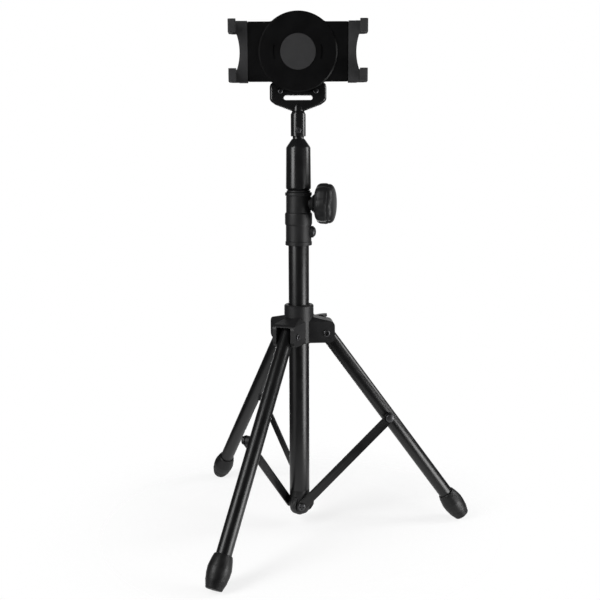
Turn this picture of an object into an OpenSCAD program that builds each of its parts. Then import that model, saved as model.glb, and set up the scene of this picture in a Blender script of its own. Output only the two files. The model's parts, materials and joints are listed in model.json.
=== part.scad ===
// Adjustable tablet floor stand on a folding tripod, with a sprung tablet holder.
// Units are millimetres. +Z is up, the origin is on the floor under the mast axis,
// leg 1 points near +X and the tablet holder faces -Y.
// The part stands at its lowest setting, legs spread, jaws closed.

/* [Tripod] */
// lean of each leg from the vertical, degrees
leg_angle = 36; // [35:0.5:37]
// from a leg's pivot to the middle of its foot's end
leg_reach = 337; // [330:0.5:350]
// direction of leg 1 round the mast, degrees
leg_turn = 3.8; // [-10:0.2:10]
// outer diameter of a leg tube
leg_od = 20; // [19:0.1:20.4]
// wall of a leg tube
leg_wall = 1.2; // [1:0.1:1.6]
// distance of the leg pivots from the mast axis
leg_pivot_r = 36.8; // [36.2:0.1:39]
// length of a rubber foot along its leg
foot_length = 42; // [38:0.5:48]
// widest diameter of a rubber foot
foot_od = 29.5; // [27.5:0.1:32]
// diameter of a foot's end
foot_end_d = 21.5; // [20.5:0.1:23]
// depth of the worn flat on each foot
foot_flat = 0.8; // [0.5:0.05:1.2]

/* [Braces] */
// along a leg from its pivot to the brace rivet
brace_on_leg = 150; // [140:0.5:160]
// distance of the lower brace pivots from the mast axis, along the leg
brace_low_r = 1.8; // [1:0.1:3]
// height of the lower brace pivots
brace_low_z = 30.6; // [29:0.1:34]
// width of a brace strip
brace_width = 13.4; // [13:0.1:16]
// thickness of a brace strip
brace_thick = 2; // [1.6:0.1:3]
// play of each upper brace rivet, all round
brace_play = 1.65; // [1.5:0.05:1.7]

/* [Mast] */
// outer diameter of the lower tube
mast_od = 28; // [27.4:0.1:28.6]
// wall of the lower tube
mast_wall = 1.5; // [1.2:0.1:1.8]
// height of the lower tube's bottom end
mast_low_z = 52.3; // [51:0.1:58]
// length of the lower tube
mast_length = 390; // [380:1:430]
// outer diameter of the middle tube
middle_od = 22; // [21.4:0.1:22.4]
// wall of the middle tube
middle_wall = 1.4; // [1.2:0.1:1.5]
// outer diameter of the top rod
rod_od = 15; // [14.4:0.1:15.4]
// wall of the top rod
rod_wall = 1.5; // [1.2:0.1:2]

/* [Hub] */
// outer diameter of the hub's top ring
hub_ring_od = 40.3; // [39:0.1:43]
// height of the hub's top ring
hub_ring_h = 16; // [14:0.5:20]
// play of the hub round the mast, all round
hub_play = 1.25; // [1.2:0.05:1.4]
// outside width of a hub arm
hub_arm_w = 32; // [31:0.1:35]
// reach of a hub arm from the mast axis
hub_arm_r = 48; // [47.5:0.1:52]

/* [Clamp] */
// length of the clamp collar
collar_length = 71; // [68:0.5:78]
// how much of the collar sits on the lower tube
collar_grip = 44.5; // [43:0.5:47]
// direction of the clamp knob round the mast, degrees
knob_turn = -12; // [-20:1:-4]
// diameter of the clamp knob
knob_od = 54.5; // [50:0.5:58]
// from the mast axis to the knob's end
knob_reach = 50.5; // [49:0.5:58]

/* [Twist grip] */
// length of the grip's round body
grip_length = 57.5; // [55:0.5:66]
// diameter of the grip at its lower end
grip_od = 33.8; // [33.2:0.1:36]
// height of the grip's cone
grip_cone = 10; // [8:0.5:13]

/* [Bracket] */
// outer diameter of the swivel sleeve
sleeve_od = 20; // [19.4:0.1:22]
// length of the swivel sleeve
sleeve_length = 32.5; // [31:0.5:38]
// width of the bracket
yoke_width = 74.8; // [72:0.2:80]
// thickness of the bracket, front to back
yoke_thick = 12; // [11:0.2:12.6]
// length of the bracket's slot
slot_length = 40; // [34:0.5:42]
// height of the bracket's slot
slot_height = 5.9; // [5.2:0.1:6.4]

/* [Holder] */
// radius of the round boss
disc_r = 50.5; // [48:0.1:52]
// width of the housing between the jaws
house_width = 128; // [124:0.5:136]
// height of the housing
house_height = 75; // [72:0.5:80]
// depth of the housing behind its flat face
house_depth = 14; // [13.6:0.1:16]
// diameter of the centre pad
pad_d = 45.2; // [40:0.2:50]
// width over the closed jaws
jaw_span = 176; // [174:0.5:190]
// height of a prong
prong_height = 16.2; // [14:0.1:19]
// width of a prong's lip with its wall
lip_width = 10; // [8:0.1:12]
// room for the tablet behind the lips
tablet_room = 13; // [11:0.1:16]

/* [Clearances] */
// running clearance of pins and sliding tubes, all round
run = 0.08; // [0.05:0.01:0.1]
// assembly clearance of pieces fixed together, all round
fix = 0.05; // [0.03:0.01:0.06]
// free gap between pieces that move past each other
gap = 0.5; // [0.4:0.05:0.55]

/* [Hidden] */
$fn = 72;
big = 2000;

// leg and foot
leg_r = leg_od / 2;
leg_ir = leg_r - leg_wall;
foot_r = foot_od / 2;
foot_end_r = foot_end_d / 2;
pivot_z = leg_reach * cos(leg_angle) + foot_end_r * sin(leg_angle) - foot_flat;
pivot_pin_r = 3.5;
pin_head_r = 4.6;
leg_top = 10;
plug_cap = 1.5;
foot_skin = 6;
tube_end = leg_reach - foot_skin - 0.3;

// braces, in the plane of each leg, on its clockwise side
mast_r = mast_od / 2;
mast_ir = mast_r - mast_wall;
strip_in = mast_r + 0.4;
strip_mid = strip_in + brace_thick / 2;
strip_out = strip_in + brace_thick;
join_r = leg_pivot_r + brace_on_leg * sin(leg_angle);
join_z = pivot_z - brace_on_leg * cos(leg_angle);
brace_dx = join_r - brace_low_r;
brace_dz = join_z - brace_low_z;
brace_len = sqrt(brace_dx * brace_dx + brace_dz * brace_dz);
brace_lean = atan2(brace_dx, brace_dz);
low_rivet_r = 2.9;
top_rivet_r = 3;
side_play = 1.2;
bush_pad_r = 6.4;
bush_face = strip_in - side_play;

// hub
bore_r = mast_r + hub_play;
ring_r = hub_ring_od / 2;
slot_half = leg_r + 0.6;
hub_below = 13;
hub_above = 22.5;
hub_low = pivot_z - hub_below;
hub_high = pivot_z + hub_above;
hub_top = hub_high + hub_ring_h;
roof_slope = 13;
arm_corner = 7;
nose_x = hub_arm_r - arm_corner;
nose_z = hub_high - (nose_x - ring_r + 3) * tan(roof_slope) - arm_corner / cos(roof_slope);
roof_in = pivot_z + 17;
roof_out = pivot_z + 13.1;
core_r = ring_r + 0.35;
arm_in = bore_r - 4;
wing_turn = leg_turn + 60;
wing_z = hub_high - 7;
wing_r = 3;
wing_half = 24;

// mast heights
mast_top = mast_low_z + mast_length;
plug_spigot = 23;
plug_low = mast_low_z - 36;
base_screw_r = 2.5;
base_screw_len = 10.5;
collar_low = mast_top - collar_grip;
collar_high = collar_low + collar_length;
middle_r = middle_od / 2;
middle_ir = middle_r - middle_wall;
rod_r = rod_od / 2;
rod_ir = rod_r - rod_wall;
bush_wall = 0.7;
bush_r = middle_r + run + bush_wall;
knob_z = collar_high - 15;
boss_z = collar_low + 18.2;
collar_r = 17.2;
rim_r = collar_r + 0.8;
stud_r = 4;
boss_r = 8.4;
stud_tip = bush_r + 3.6;
knob_in = rim_r + 4.2;
knob_r = knob_od / 2;
knob_hub_r = 10;
knob_swell = 10.4;
knob_face = 10;
knob_crown = 18;
hollow_r = 13.2;
hollow_depth = 1;
stud_in_knob = 15;

// twist grip
flange_h = 2.5;
flange_r = grip_od / 2 - 0.9;
flange_low = collar_high + 0.1;
core_low = flange_low + flange_h;
core_out = middle_r + fix + 1.6;
core_top = core_low + 37;
middle_low = mast_low_z + plug_spigot + 10;
middle_top = core_top - 4;
guide_len = 24;
grip_low = core_low + 0.3;
grip_high = grip_low + grip_length;
grip_top = grip_high + grip_cone;
grip_r = grip_od / 2;
grip_top_r = grip_r - 0.6;
grip_mouth = rod_r + 0.45;
collet_low = core_top + 0.3;
collet_high = grip_high - 2.5;
collet_r = core_out - 0.4;
collet_tip_r = rod_r + run + 2.2;

// head
rod_low = middle_low + 12;
sleeve_low = grip_top + 3.2;
sleeve_high = sleeve_low + sleeve_length;
rod_top = sleeve_low + 19.5;
sleeve_r = sleeve_od / 2;
stem_r = 5;
stem_low = rod_top + 4;
set_z = sleeve_low + 7.8;
slot_mid = sleeve_high + 17.9;
slot_r = slot_height / 2;
yoke_half = yoke_width / 2;
yoke_y = yoke_thick / 2;
barrel_r = 6;
tilt_z = slot_mid + slot_r + 4.4 + gap + barrel_r;
ear_top = tilt_z + barrel_r;
barrel_half = 18.8;
ear_in = barrel_half + gap;
tilt_pin_r = 2.5;
ear_screw_x = 23.3;
ear_screw_z = slot_mid + slot_r + 5;

// holder, measured forward from the tilt axis
cradle_z = tilt_z + disc_r - 9.2;
plate_back = 9.5;
plate_front = 16.5;
plate_r = 34;
spigot_r = 11;
cover_back = plate_front + gap;
cover_t = 2.5;
house_back = cover_back + cover_t;
house_front = cover_back + house_depth;
disc_front = house_front + 2;
skin = 2.2;
house_in = house_front - 2;
spigot_end = house_back + gap;
pad_r = pad_d / 2;
pad_sink = 1;
pad_front = disc_front + 0.8;
blend_r = 8;
house_corner = 1.2;
jaw_corner = 0.8;
edge = 0.8;
half_w = house_width / 2;
half_h = house_height / 2;
rail_in = 17;
rail_out = 29;
rail_t = 4;
rail_front = house_in - 0.5;
rail_back = rail_front - rail_t;
rail_end = 24;
jaw_in = half_w + 0.3;
jaw_half_h = half_h + 0.7;
jaw_out = jaw_span / 2;
jaw_face = house_front - 0.5;
jaw_back = cover_back + 3;
slab_back = jaw_face - 5;
prong_wall = 3.2;
lip_in = pad_front + tablet_room;
lip_out = lip_in + 3.2;
jaw_waist = half_w + 10.6;
jaw_cut_r = 67;
jaw_pad_t = 2.3;
cross_x = 38;
cross_w = 3;
post_x = 19.5;
post_r = 1.8;
spring_r = 2.5;
spring_wire = 0.5;
spring_f = house_in - spring_r - spring_wire - 0.4;
screw_x = half_w - skin - 4.4;
screw_y = half_h - skin - 2;
cover_screw_r = 1.5;
cover_head_r = 2.6;
guide_t = 1.6;
groove_in = 29.8;
groove_out = 32.2;
groove_half = 9;

// Shared shapes

module lathe(pts) rotate_extrude($fn = 96) polygon(pts);

module pipe(ro, ri, z0, z1)
    difference() {
        translate([0, 0, z0]) cylinder(r = ro, h = z1 - z0);
        translate([0, 0, z0 - 1]) cylinder(r = ri, h = z1 - z0 + 2);
    }

// turns a shape built along +Z to point outward from the mast at one direction
module outward(turn, z) translate([0, 0, z]) rotate([0, 0, turn]) rotate([0, 90, 0]) children();

// a leg's own frame: origin on its pivot, +Z down the leg, -Y on its clockwise side
module on_leg(k)
    rotate([0, 0, leg_turn + 120 * k]) translate([leg_pivot_r, 0, pivot_z]) rotate([0, 180 - leg_angle, 0])
        children();

// a brace's own frame: origin on its lower pivot, +Z up the strip
module on_brace(k)
    rotate([0, 0, leg_turn + 120 * k]) translate([brace_low_r, -strip_mid, brace_low_z])
        rotate([0, brace_lean, 0]) children();

// a pin along Y from y0 to y1
module ypin(r, y0, y1) translate([0, y1, 0]) rotate([90, 0, 0]) cylinder(r = r, h = y1 - y0);

// a pin along X, centred
module xpin(r, half) rotate([0, 90, 0]) cylinder(r = r, h = 2 * half, center = true);

// a low domed head on +Z, foot at z0
module dome(r, h, z0)
    translate([0, 0, z0]) lathe([[0, 0], [r, 0], [r, h * 0.35], [r * 0.88, h * 0.66],
        [r * 0.6, h * 0.9], [r * 0.25, h], [0, h]]);

module rounded(x0, y0, x1, y1, r) {
    translate([x0 + r, y0]) square([x1 - x0 - 2 * r, y1 - y0]);
    translate([x0, y0 + r]) square([x1 - x0, y1 - y0 - 2 * r]);
    for (x = [x0 + r, x1 - r], y = [y0 + r, y1 - r]) translate([x, y]) circle(r = r);
}

// the holder's frame: origin on the holder's axis, +Z forward from the tilt axis
module in_holder() translate([0, 0, cradle_z]) rotate([90, 0, 0]) children();

// the top and bottom of the holder, and its four corners
module each_end() for (t = [-1, 1]) scale([1, t, 1]) children();
module each_corner() for (s = [-1, 1], t = [-1, 1]) scale([s, t, 1]) children();

// Mast

module lower_tube()
    color([0.05, 0.05, 0.055]) pipe(mast_r, mast_ir, mast_low_z, mast_top);

module base_plug()
    color([0.06, 0.06, 0.06]) difference() {
        union() {
            lathe([[0, plug_low], [mast_r - 7, plug_low], [mast_r - 3, plug_low + 1.6],
                [mast_r - 0.8, plug_low + 4.6], [mast_r, plug_low + 8], [mast_r, mast_low_z],
                [mast_ir - fix, mast_low_z], [mast_ir - fix, mast_low_z + plug_spigot - 1],
                [mast_ir - fix - 1, mast_low_z + plug_spigot], [0, mast_low_z + plug_spigot]]);
            for (k = [0 : 2]) rotate([0, 0, leg_turn + 120 * k]) translate([brace_low_r, 0, brace_low_z])
                ypin(brace_width / 2 - 0.2, -strip_in + gap, -4);
        }
        for (k = [0 : 2]) rotate([0, 0, leg_turn + 120 * k]) translate([brace_low_r, 0, brace_low_z])
            ypin(low_rivet_r + fix, -strip_in - 1, -3.4);
        translate([0, 0, plug_low - 1]) cylinder(r = base_screw_r + fix, h = base_screw_len + 1.5);
    }

module base_screw()
    color([0.3, 0.3, 0.31]) difference() {
        union() {
            translate([0, 0, plug_low]) mirror([0, 0, 1]) dome(5, 3, 0);
            translate([0, 0, plug_low]) cylinder(r = base_screw_r, h = base_screw_len);
        }
        for (a = [0, 90]) rotate([0, 0, a]) translate([-2.6, -0.5, plug_low - 4]) cube([5.2, 1, 2.2]);
    }

module base_rivets()
    color([0.32, 0.32, 0.33]) for (k = [0 : 2]) rotate([0, 0, leg_turn + 120 * k])
        translate([brace_low_r, 0, brace_low_z]) {
            ypin(low_rivet_r, -strip_out - gap, -3.6);
            translate([0, -strip_out - gap, 0]) rotate([90, 0, 0]) dome(5.2, 2.4, 0);
        }

module collar()
    color([0.07, 0.07, 0.07]) difference() {
        union() {
            translate([0, 0, collar_low]) lathe([[0, 0], [rim_r - 0.5, 0], [rim_r, 0.6],
                [rim_r, 4.8], [rim_r - 0.7, 5.6], [collar_r + 0.1, 5.8],
                [collar_r, 26.4], [collar_r + 0.7, 27.8], [collar_r + 1.2, 29],
                [collar_r + 1.2, 42], [collar_r + 0.5, 43.6], [collar_r - 0.4, 44.4],
                [collar_r - 0.5, collar_length - 5], [rim_r - 0.5, collar_length - 4.4],
                [rim_r, collar_length - 3.6], [rim_r, collar_length - 0.7],
                [rim_r - 0.6, collar_length], [0, collar_length]]);
            outward(knob_turn, knob_z) {
                cylinder(r = boss_r, h = rim_r);
                translate([0, 0, rim_r - 1]) cylinder(r1 = boss_r, r2 = boss_r + 4.2, h = 4.6);
            }
            outward(knob_turn, boss_z) cylinder(r1 = 9, r2 = 7.8, h = rim_r + 2.2);
        }
        translate([0, 0, collar_low - 1]) cylinder(r = mast_r + fix, h = collar_grip + 1);
        translate([0, 0, collar_low]) cylinder(r = bush_r + fix, h = collar_length + 1);
        outward(knob_turn, knob_z) cylinder(r = stud_r + run, h = knob_reach);
        outward(knob_turn, boss_z) translate([0, 0, mast_r]) cylinder(r = 2.5 + fix, h = 30);
    }

module collar_bush()
    color([0.62, 0.62, 0.6]) difference() {
        translate([0, 0, mast_top + 0.3])
            lathe([[middle_r + run, 0], [bush_r, 0], [bush_r, collar_high - mast_top - 0.3],
                [middle_r + run, collar_high - mast_top - 0.3]]);
        outward(knob_turn, knob_z) cylinder(r = stud_r + run, h = knob_reach);
    }

module collar_screw()
    color([0.3, 0.3, 0.31]) outward(knob_turn, boss_z) difference() {
        union() {
            dome(6.4, 3.4, rim_r + 2.2);
            translate([0, 0, mast_r + 0.4]) cylinder(r = 2.5, h = rim_r + 2 - mast_r);
        }
        for (a = [0, 90]) rotate([0, 0, a])
            translate([-2.4, -0.5, rim_r + 4.2]) cube([4.8, 1, 3]);
    }

module clamp_shoe()
    color([0.7, 0.7, 0.68]) outward(knob_turn, knob_z)
        translate([0, 0, middle_r + 0.35]) cylinder(r = stud_r, h = stud_tip - middle_r - 0.45);

// Clamp knob

module clamp_knob()
    color([0.06, 0.06, 0.06]) outward(knob_turn, knob_z) difference() {
        lathe([[0, knob_in], [knob_hub_r, knob_in], [knob_hub_r + 1, knob_in + 0.8],
            [knob_r - 7, knob_in + 2.4], [knob_r - 2.4, knob_in + 4.4],
            [knob_r - 0.6, knob_in + 7], [knob_r, knob_in + knob_swell],
            [knob_r - 0.1, knob_reach - 9], [knob_r - 1.2, knob_reach - 5.4],
            [knob_r - 4, knob_reach - 3], [knob_r - knob_face, knob_reach - 1.2],
            [knob_r - knob_crown, knob_reach - 0.3], [0, knob_reach]]);
        for (i = [0 : 7]) rotate([0, 0, 22.5 + 45 * i])
            translate([knob_r + hollow_r - hollow_depth, 0, knob_in + 3])
                cylinder(r = hollow_r, h = knob_reach);
        translate([0, 0, knob_in - 1]) cylinder(r = stud_r + fix, h = stud_in_knob + 2);
    }

module clamp_stud()
    color([0.5, 0.5, 0.5]) outward(knob_turn, knob_z)
        translate([0, 0, stud_tip]) lathe([[0, 0], [stud_r - 0.8, 0], [stud_r, 0.8],
            [stud_r, knob_in + stud_in_knob - stud_tip], [0, knob_in + stud_in_knob - stud_tip]]);

// Braces and legs

module brace(k)
    color([0.05, 0.05, 0.055]) on_brace(k) rotate([90, 0, 0])
        linear_extrude(height = brace_thick, center = true) difference() {
            union() {
                translate([-brace_width / 2, 0]) square([brace_width, brace_len]);
                circle(r = brace_width / 2);
                translate([0, brace_len]) circle(r = brace_width / 2);
            }
            circle(r = low_rivet_r + run);
            translate([0, brace_len]) circle(r = top_rivet_r + brace_play);
        }

module leg_tube(k)
    color([0.05, 0.05, 0.055]) on_leg(k) difference() {
        pipe(leg_r, leg_ir, -leg_top, tube_end);
        ypin(pivot_pin_r + run, -30, 30);
        translate([0, 0, brace_on_leg]) ypin(top_rivet_r + fix, -30, 0);
    }

module leg_plug(k)
    color([0.08, 0.08, 0.08]) on_leg(k) difference() {
        union() {
            translate([0, 0, -leg_top]) cylinder(r = leg_ir - fix, h = leg_top + 16);
            translate([0, 0, -leg_top - plug_cap])
                cylinder(r1 = leg_r - 1.2, r2 = leg_r - 0.2, h = plug_cap);
        }
        ypin(pivot_pin_r + run, -30, 30);
    }

module foot(k)
    color([0.03, 0.03, 0.03]) difference() {
        on_leg(k) translate([0, 0, leg_reach]) mirror([0, 0, 1]) lathe([
            [0, 0], [foot_end_r - 1.2, 0], [foot_end_r, 1], [foot_end_r + 0.5, 3],
            [foot_end_r + 0.2, 3.3], [foot_end_r + 0.9, 6], [foot_end_r + 0.6, 6.3],
            [foot_end_r + 1.5, 9], [foot_end_r + 1.2, 9.3], [foot_r - 1.3, 12.4],
            [foot_r - 0.7, 16], [foot_r - 0.2, foot_length - 19],
            [foot_r, foot_length - 15], [foot_r - 0.6, foot_length - 12.4],
            [leg_r + 2.6, foot_length - 8], [leg_r + 1.4, foot_length - 3.4],
            [leg_r + 1.1, foot_length - 0.6], [leg_r + 0.6, foot_length],
            [leg_r + fix, foot_length], [leg_r + fix, foot_skin], [0, foot_skin]]);
        translate([-big / 2, -big / 2, -big]) cube([big, big, big]);
    }

module brace_bush(k)
    color([0.07, 0.07, 0.07]) on_leg(k) translate([0, 0, brace_on_leg]) difference() {
        ypin(bush_pad_r, -bush_face, -leg_r + 3);
        translate([0, 0, -20]) cylinder(r = leg_r + fix, h = 40);
        ypin(top_rivet_r + fix, -30, 30);
    }

module brace_rivet(k)
    color([0.32, 0.32, 0.33]) on_leg(k) translate([0, 0, brace_on_leg]) {
        ypin(top_rivet_r, -strip_out - side_play, -leg_ir + 4);
        translate([0, -strip_out - side_play, 0]) rotate([90, 0, 0]) dome(5.8, 2.6, 0);
    }

// Hub

module hub()
    color([0.07, 0.07, 0.07]) difference() {
        union() {
            translate([0, 0, hub_low - 1]) lathe([[0, 0], [ring_r - 1.4, 0], [ring_r, 1.4],
                [ring_r, hub_top - hub_low - 0.4], [ring_r - 1.4, hub_top - hub_low + 1],
                [0, hub_top - hub_low + 1]]);
            for (k = [0 : 2]) rotate([0, 0, leg_turn + 120 * k]) hub_arm();
            outward(wing_turn, wing_z) cylinder(r1 = 7.6, r2 = 6.4, h = ring_r + 3);
        }
        translate([0, 0, hub_low - 2]) cylinder(r = bore_r, h = hub_top - hub_low + 4);
        for (k = [0 : 2]) rotate([0, 0, leg_turn + 120 * k]) {
            translate([0, slot_half, 0]) rotate([90, 0, 0]) linear_extrude(height = 2 * slot_half)
                polygon([[core_r, hub_low - 2], [core_r, roof_in], [leg_pivot_r - 3, roof_in],
                    [hub_arm_r, roof_out], [hub_arm_r + 5, roof_out], [hub_arm_r + 5, hub_low - 2]]);
            translate([leg_pivot_r, 0, pivot_z]) ypin(pivot_pin_r + fix, -hub_arm_w, hub_arm_w);
        }
        outward(wing_turn, wing_z) cylinder(r = wing_r + run, h = 2 * ring_r);
    }

module hub_arm()
    intersection() {
        translate([0, hub_arm_w / 2, 0]) rotate([90, 0, 0]) linear_extrude(height = hub_arm_w) {
            polygon([[arm_in, hub_low], [nose_x, hub_low], [hub_arm_r, hub_low + arm_corner],
                [hub_arm_r, nose_z], [nose_x + arm_corner * sin(roof_slope),
                nose_z + arm_corner * cos(roof_slope)], [ring_r - 3, hub_high], [arm_in, hub_high]]);
            for (z = [hub_low + arm_corner, nose_z]) translate([nose_x, z]) circle(r = arm_corner);
        }
        rotate([90, 0, 90]) linear_extrude(height = 2 * hub_arm_r)
            polygon([[-hub_arm_w / 2, hub_low - 5], [hub_arm_w / 2, hub_low - 5],
                [hub_arm_w / 2, hub_high - 6], [hub_arm_w / 2 - 5, hub_high - 1.4],
                [hub_arm_w / 2 - 8, hub_high + 1], [8 - hub_arm_w / 2, hub_high + 1],
                [5 - hub_arm_w / 2, hub_high - 1.4], [-hub_arm_w / 2, hub_high - 6]]);
    }

module hub_pins()
    color([0.32, 0.32, 0.33]) for (k = [0 : 2]) rotate([0, 0, leg_turn + 120 * k])
        translate([leg_pivot_r, 0, pivot_z]) {
            ypin(pivot_pin_r, -hub_arm_w / 2 - 0.1, hub_arm_w / 2 + 0.1);
            translate([0, -hub_arm_w / 2, 0]) rotate([90, 0, 0]) dome(pin_head_r, 2, 0);
            translate([0, hub_arm_w / 2, 0]) rotate([-90, 0, 0]) dome(pin_head_r, 2, 0);
        }

module wing_screw()
    color([0.06, 0.06, 0.06]) outward(wing_turn, wing_z) {
        translate([0, 0, bore_r - 0.3]) cylinder(r = wing_r, h = ring_r + 8 - bore_r);
        translate([0, 0, ring_r + 4])
            lathe([[0, 0], [5.4, 0], [6, 0.6], [6, 9], [5, 16.6], [3.6, 17.6], [0, 17.6]]);
        rotate([0, 0, 82]) translate([0, 2, 0]) rotate([90, 0, 0]) linear_extrude(height = 4)
            for (s = [-1, 1]) scale([s, 1]) {
                translate([0, ring_r + 9]) square([wing_half - 8, 11]);
                translate([wing_half - 8, ring_r + 19]) circle(r = 8);
            }
    }

// Middle section and twist grip

module middle_tube()
    color([0.05, 0.05, 0.055]) pipe(middle_r, middle_ir, middle_low, middle_top);

module middle_guide()
    color([0.62, 0.62, 0.6]) translate([0, 0, middle_low])
        lathe([[middle_r + fix, 0], [mast_ir - run - 0.4, 0], [mast_ir - run, 0.8],
            [mast_ir - run, guide_len - 0.8], [mast_ir - run - 0.4, guide_len],
            [middle_r + fix, guide_len]]);

module clutch_core()
    color([0.1, 0.1, 0.1]) lathe([[middle_r + fix, flange_low], [flange_r - 0.4, flange_low],
        [flange_r, flange_low + 0.4], [flange_r, core_low], [core_out, core_low],
        [core_out, core_top - 0.6], [core_out - 0.6, core_top], [rod_r + 0.6, core_top],
        [rod_r + 0.6, core_top - 3.6], [middle_r + fix, core_top - 3.6]]);

module collet()
    color([0.75, 0.75, 0.72]) difference() {
        lathe([[rod_r + run, collet_low], [collet_r, collet_low], [collet_r, collet_low + 4],
            [collet_tip_r, collet_high], [rod_r + run, collet_high]]);
        for (a = [0, 60, 120]) rotate([0, 0, a])
            translate([-20, -0.5, collet_low + 4]) cube([40, 1, 40]);
    }

module twist_grip()
    color([0.05, 0.05, 0.05]) lathe([[core_out + 0.15, grip_low], [grip_r - 2.6, grip_low],
        [grip_r - 0.5, grip_low + 1.6], [grip_r, grip_low + 3], [grip_top_r, grip_high - 1.8],
        [grip_top_r - 0.5, grip_high - 0.4], [grip_top_r - 1.3, grip_high + 0.4],
        [grip_mouth + 0.9, grip_top - 0.5], [grip_mouth + 0.4, grip_top], [grip_mouth, grip_top],
        [grip_mouth, grip_top - 2], [collet_tip_r + 0.6, collet_high + 1],
        [collet_r + 0.6, collet_low + 4.6], [core_out + 0.15, collet_low + 3]]);

// Top rod

module rod_tube()
    color([0.1, 0.1, 0.105]) pipe(rod_r, rod_ir, rod_low, rod_top - 2);

module rod_guide()
    color([0.62, 0.62, 0.6]) translate([0, 0, rod_low])
        lathe([[rod_r + fix, 0], [middle_ir - run - 0.4, 0], [middle_ir - run, 0.8],
            [middle_ir - run, guide_len - 2], [middle_ir - run - 0.4, guide_len - 1],
            [rod_r + fix, guide_len - 1]]);

module rod_cap()
    color([0.1, 0.1, 0.1]) translate([0, 0, rod_top]) lathe([[0, -18], [rod_ir - fix, -18],
        [rod_ir - fix, -2], [rod_r, -2], [rod_r, -0.5], [rod_r - 0.5, 0], [0, 0]]);

// Swivel sleeve and bracket

module swivel_sleeve()
    color([0.05, 0.05, 0.05]) difference() {
        lathe([[rod_r + run, sleeve_low], [sleeve_r - 0.6, sleeve_low], [sleeve_r, sleeve_low + 0.6],
            [sleeve_r, sleeve_high - 3.8], [sleeve_r - 0.6, sleeve_high - 2.6],
            [sleeve_r - 1.9, sleeve_high], [stem_r + fix, sleeve_high],
            [stem_r + fix, rod_top + 0.5], [rod_r + run, rod_top + 0.5]]);
        outward(-90, set_z) cylinder(r = 2.5 + fix, h = 30);
        outward(-90, set_z) translate([0, 0, sleeve_r - 0.8]) cylinder(r = 4.1, h = 30);
    }

module set_screw()
    color([0.2, 0.2, 0.2]) outward(-90, set_z) difference() {
        union() {
            translate([0, 0, rod_r + 0.4]) cylinder(r = 2.5, h = sleeve_r - rod_r - 1);
            translate([0, 0, sleeve_r - 0.8]) lathe([[0, 0], [4, 0], [4, 1], [3.4, 1.6], [0, 1.8]]);
        }
        translate([0, 0, sleeve_r - 0.4]) cylinder(r = 1.4, h = 5, $fn = 6);
    }

module yoke_outline(e)
    difference() {
        union() {
            rounded(-yoke_half + e, slot_mid - 4, yoke_half - e, ear_top - e, 7.5);
            polygon([[-yoke_half + e, slot_mid + 6], [-yoke_half + e, slot_mid - 2.4],
                [-yoke_half + 1.4 + e, slot_mid - 5], [-yoke_half + 7.4, slot_mid - 9.4 + e],
                [-yoke_half + 14.4, slot_mid - 12 + e], [-13.4, slot_mid - 15.6 + e],
                [-8 + e, sleeve_high + 0.1], [8 - e, sleeve_high + 0.1],
                [13.4, slot_mid - 15.6 + e], [yoke_half - 14.4, slot_mid - 12 + e],
                [yoke_half - 7.4, slot_mid - 9.4 + e], [yoke_half - 1.4 - e, slot_mid - 5],
                [yoke_half - e, slot_mid - 2.4], [yoke_half - e, slot_mid + 6]]);
        }
        translate([-ear_in - e, slot_mid + slot_r + 4.4 - e]) square([2 * (ear_in + e), big]);
        translate([-slot_length / 2 + slot_r, slot_mid - slot_r - e])
            square([slot_length - 2 * slot_r, slot_height + 2 * e]);
        for (s = [-1, 1]) translate([s * (slot_length / 2 - slot_r), slot_mid]) circle(r = slot_r + e);
    }

module yoke()
    color([0.05, 0.05, 0.05]) difference() {
        union() {
            rotate([90, 0, 0]) linear_extrude(height = yoke_thick - 4, center = true) yoke_outline(0);
            rotate([90, 0, 0]) linear_extrude(height = yoke_thick - 1.6, center = true) yoke_outline(0.8);
            rotate([90, 0, 0]) linear_extrude(height = yoke_thick, center = true) yoke_outline(1.8);
            translate([0, 0, stem_low]) cylinder(r = stem_r, h = sleeve_high - stem_low + 4);
        }
        translate([0, 0, tilt_z]) xpin(tilt_pin_r + fix, yoke_half - 3);
        for (s = [-1, 1]) translate([s * ear_screw_x, 0, ear_screw_z])
            ypin(1.5 + fix, -20, -yoke_y + 5.4);
    }

module tilt_pin()
    color([0.5, 0.5, 0.5]) translate([0, 0, tilt_z]) xpin(tilt_pin_r, yoke_half - 3.2);

module ear_screws()
    color([0.25, 0.25, 0.25]) for (s = [-1, 1]) translate([s * ear_screw_x, 0, ear_screw_z])
        difference() {
            union() {
                ypin(1.5, -yoke_y - 0.2, -yoke_y + 5);
                translate([0, -yoke_y, 0]) rotate([90, 0, 0]) dome(3.4, 1.7, 0);
            }
            translate([-2, -yoke_y - 3, -0.4]) cube([4, 2.1, 0.8]);
            translate([-0.4, -yoke_y - 3, -2]) cube([0.8, 2.1, 4]);
        }

// Tilt piece behind the holder

module swivel_base()
    color([0.06, 0.06, 0.06]) difference() {
        union() {
            in_holder() translate([0, 0, plate_back])
                lathe([[0, 0], [plate_r - 1.2, 0], [plate_r, 1.2], [plate_r, plate_front - plate_back],
                    [spigot_r, plate_front - plate_back], [spigot_r, spigot_end - plate_back],
                    [0, spigot_end - plate_back]]);
            translate([0, 0, tilt_z]) xpin(barrel_r, barrel_half);
            translate([-barrel_half, 0, tilt_z]) rotate([90, 0, 90]) linear_extrude(height = 2 * barrel_half)
                polygon([[3.4, 4.8], [-4.6, 16], [-9.6, 25], [-plate_front, 25],
                    [-plate_front, 8], [-5.6, -1.6]]);
        }
        translate([0, 0, tilt_z]) xpin(tilt_pin_r + run, big);
        in_holder() translate([0, 0, plate_back + 1.4]) cylinder(r = 2.5 + fix, h = 20);
    }

module pivot_washer()
    color([0.6, 0.6, 0.6]) in_holder() pipe(15, 2.5 + fix, spigot_end, spigot_end + 1.2);

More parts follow.
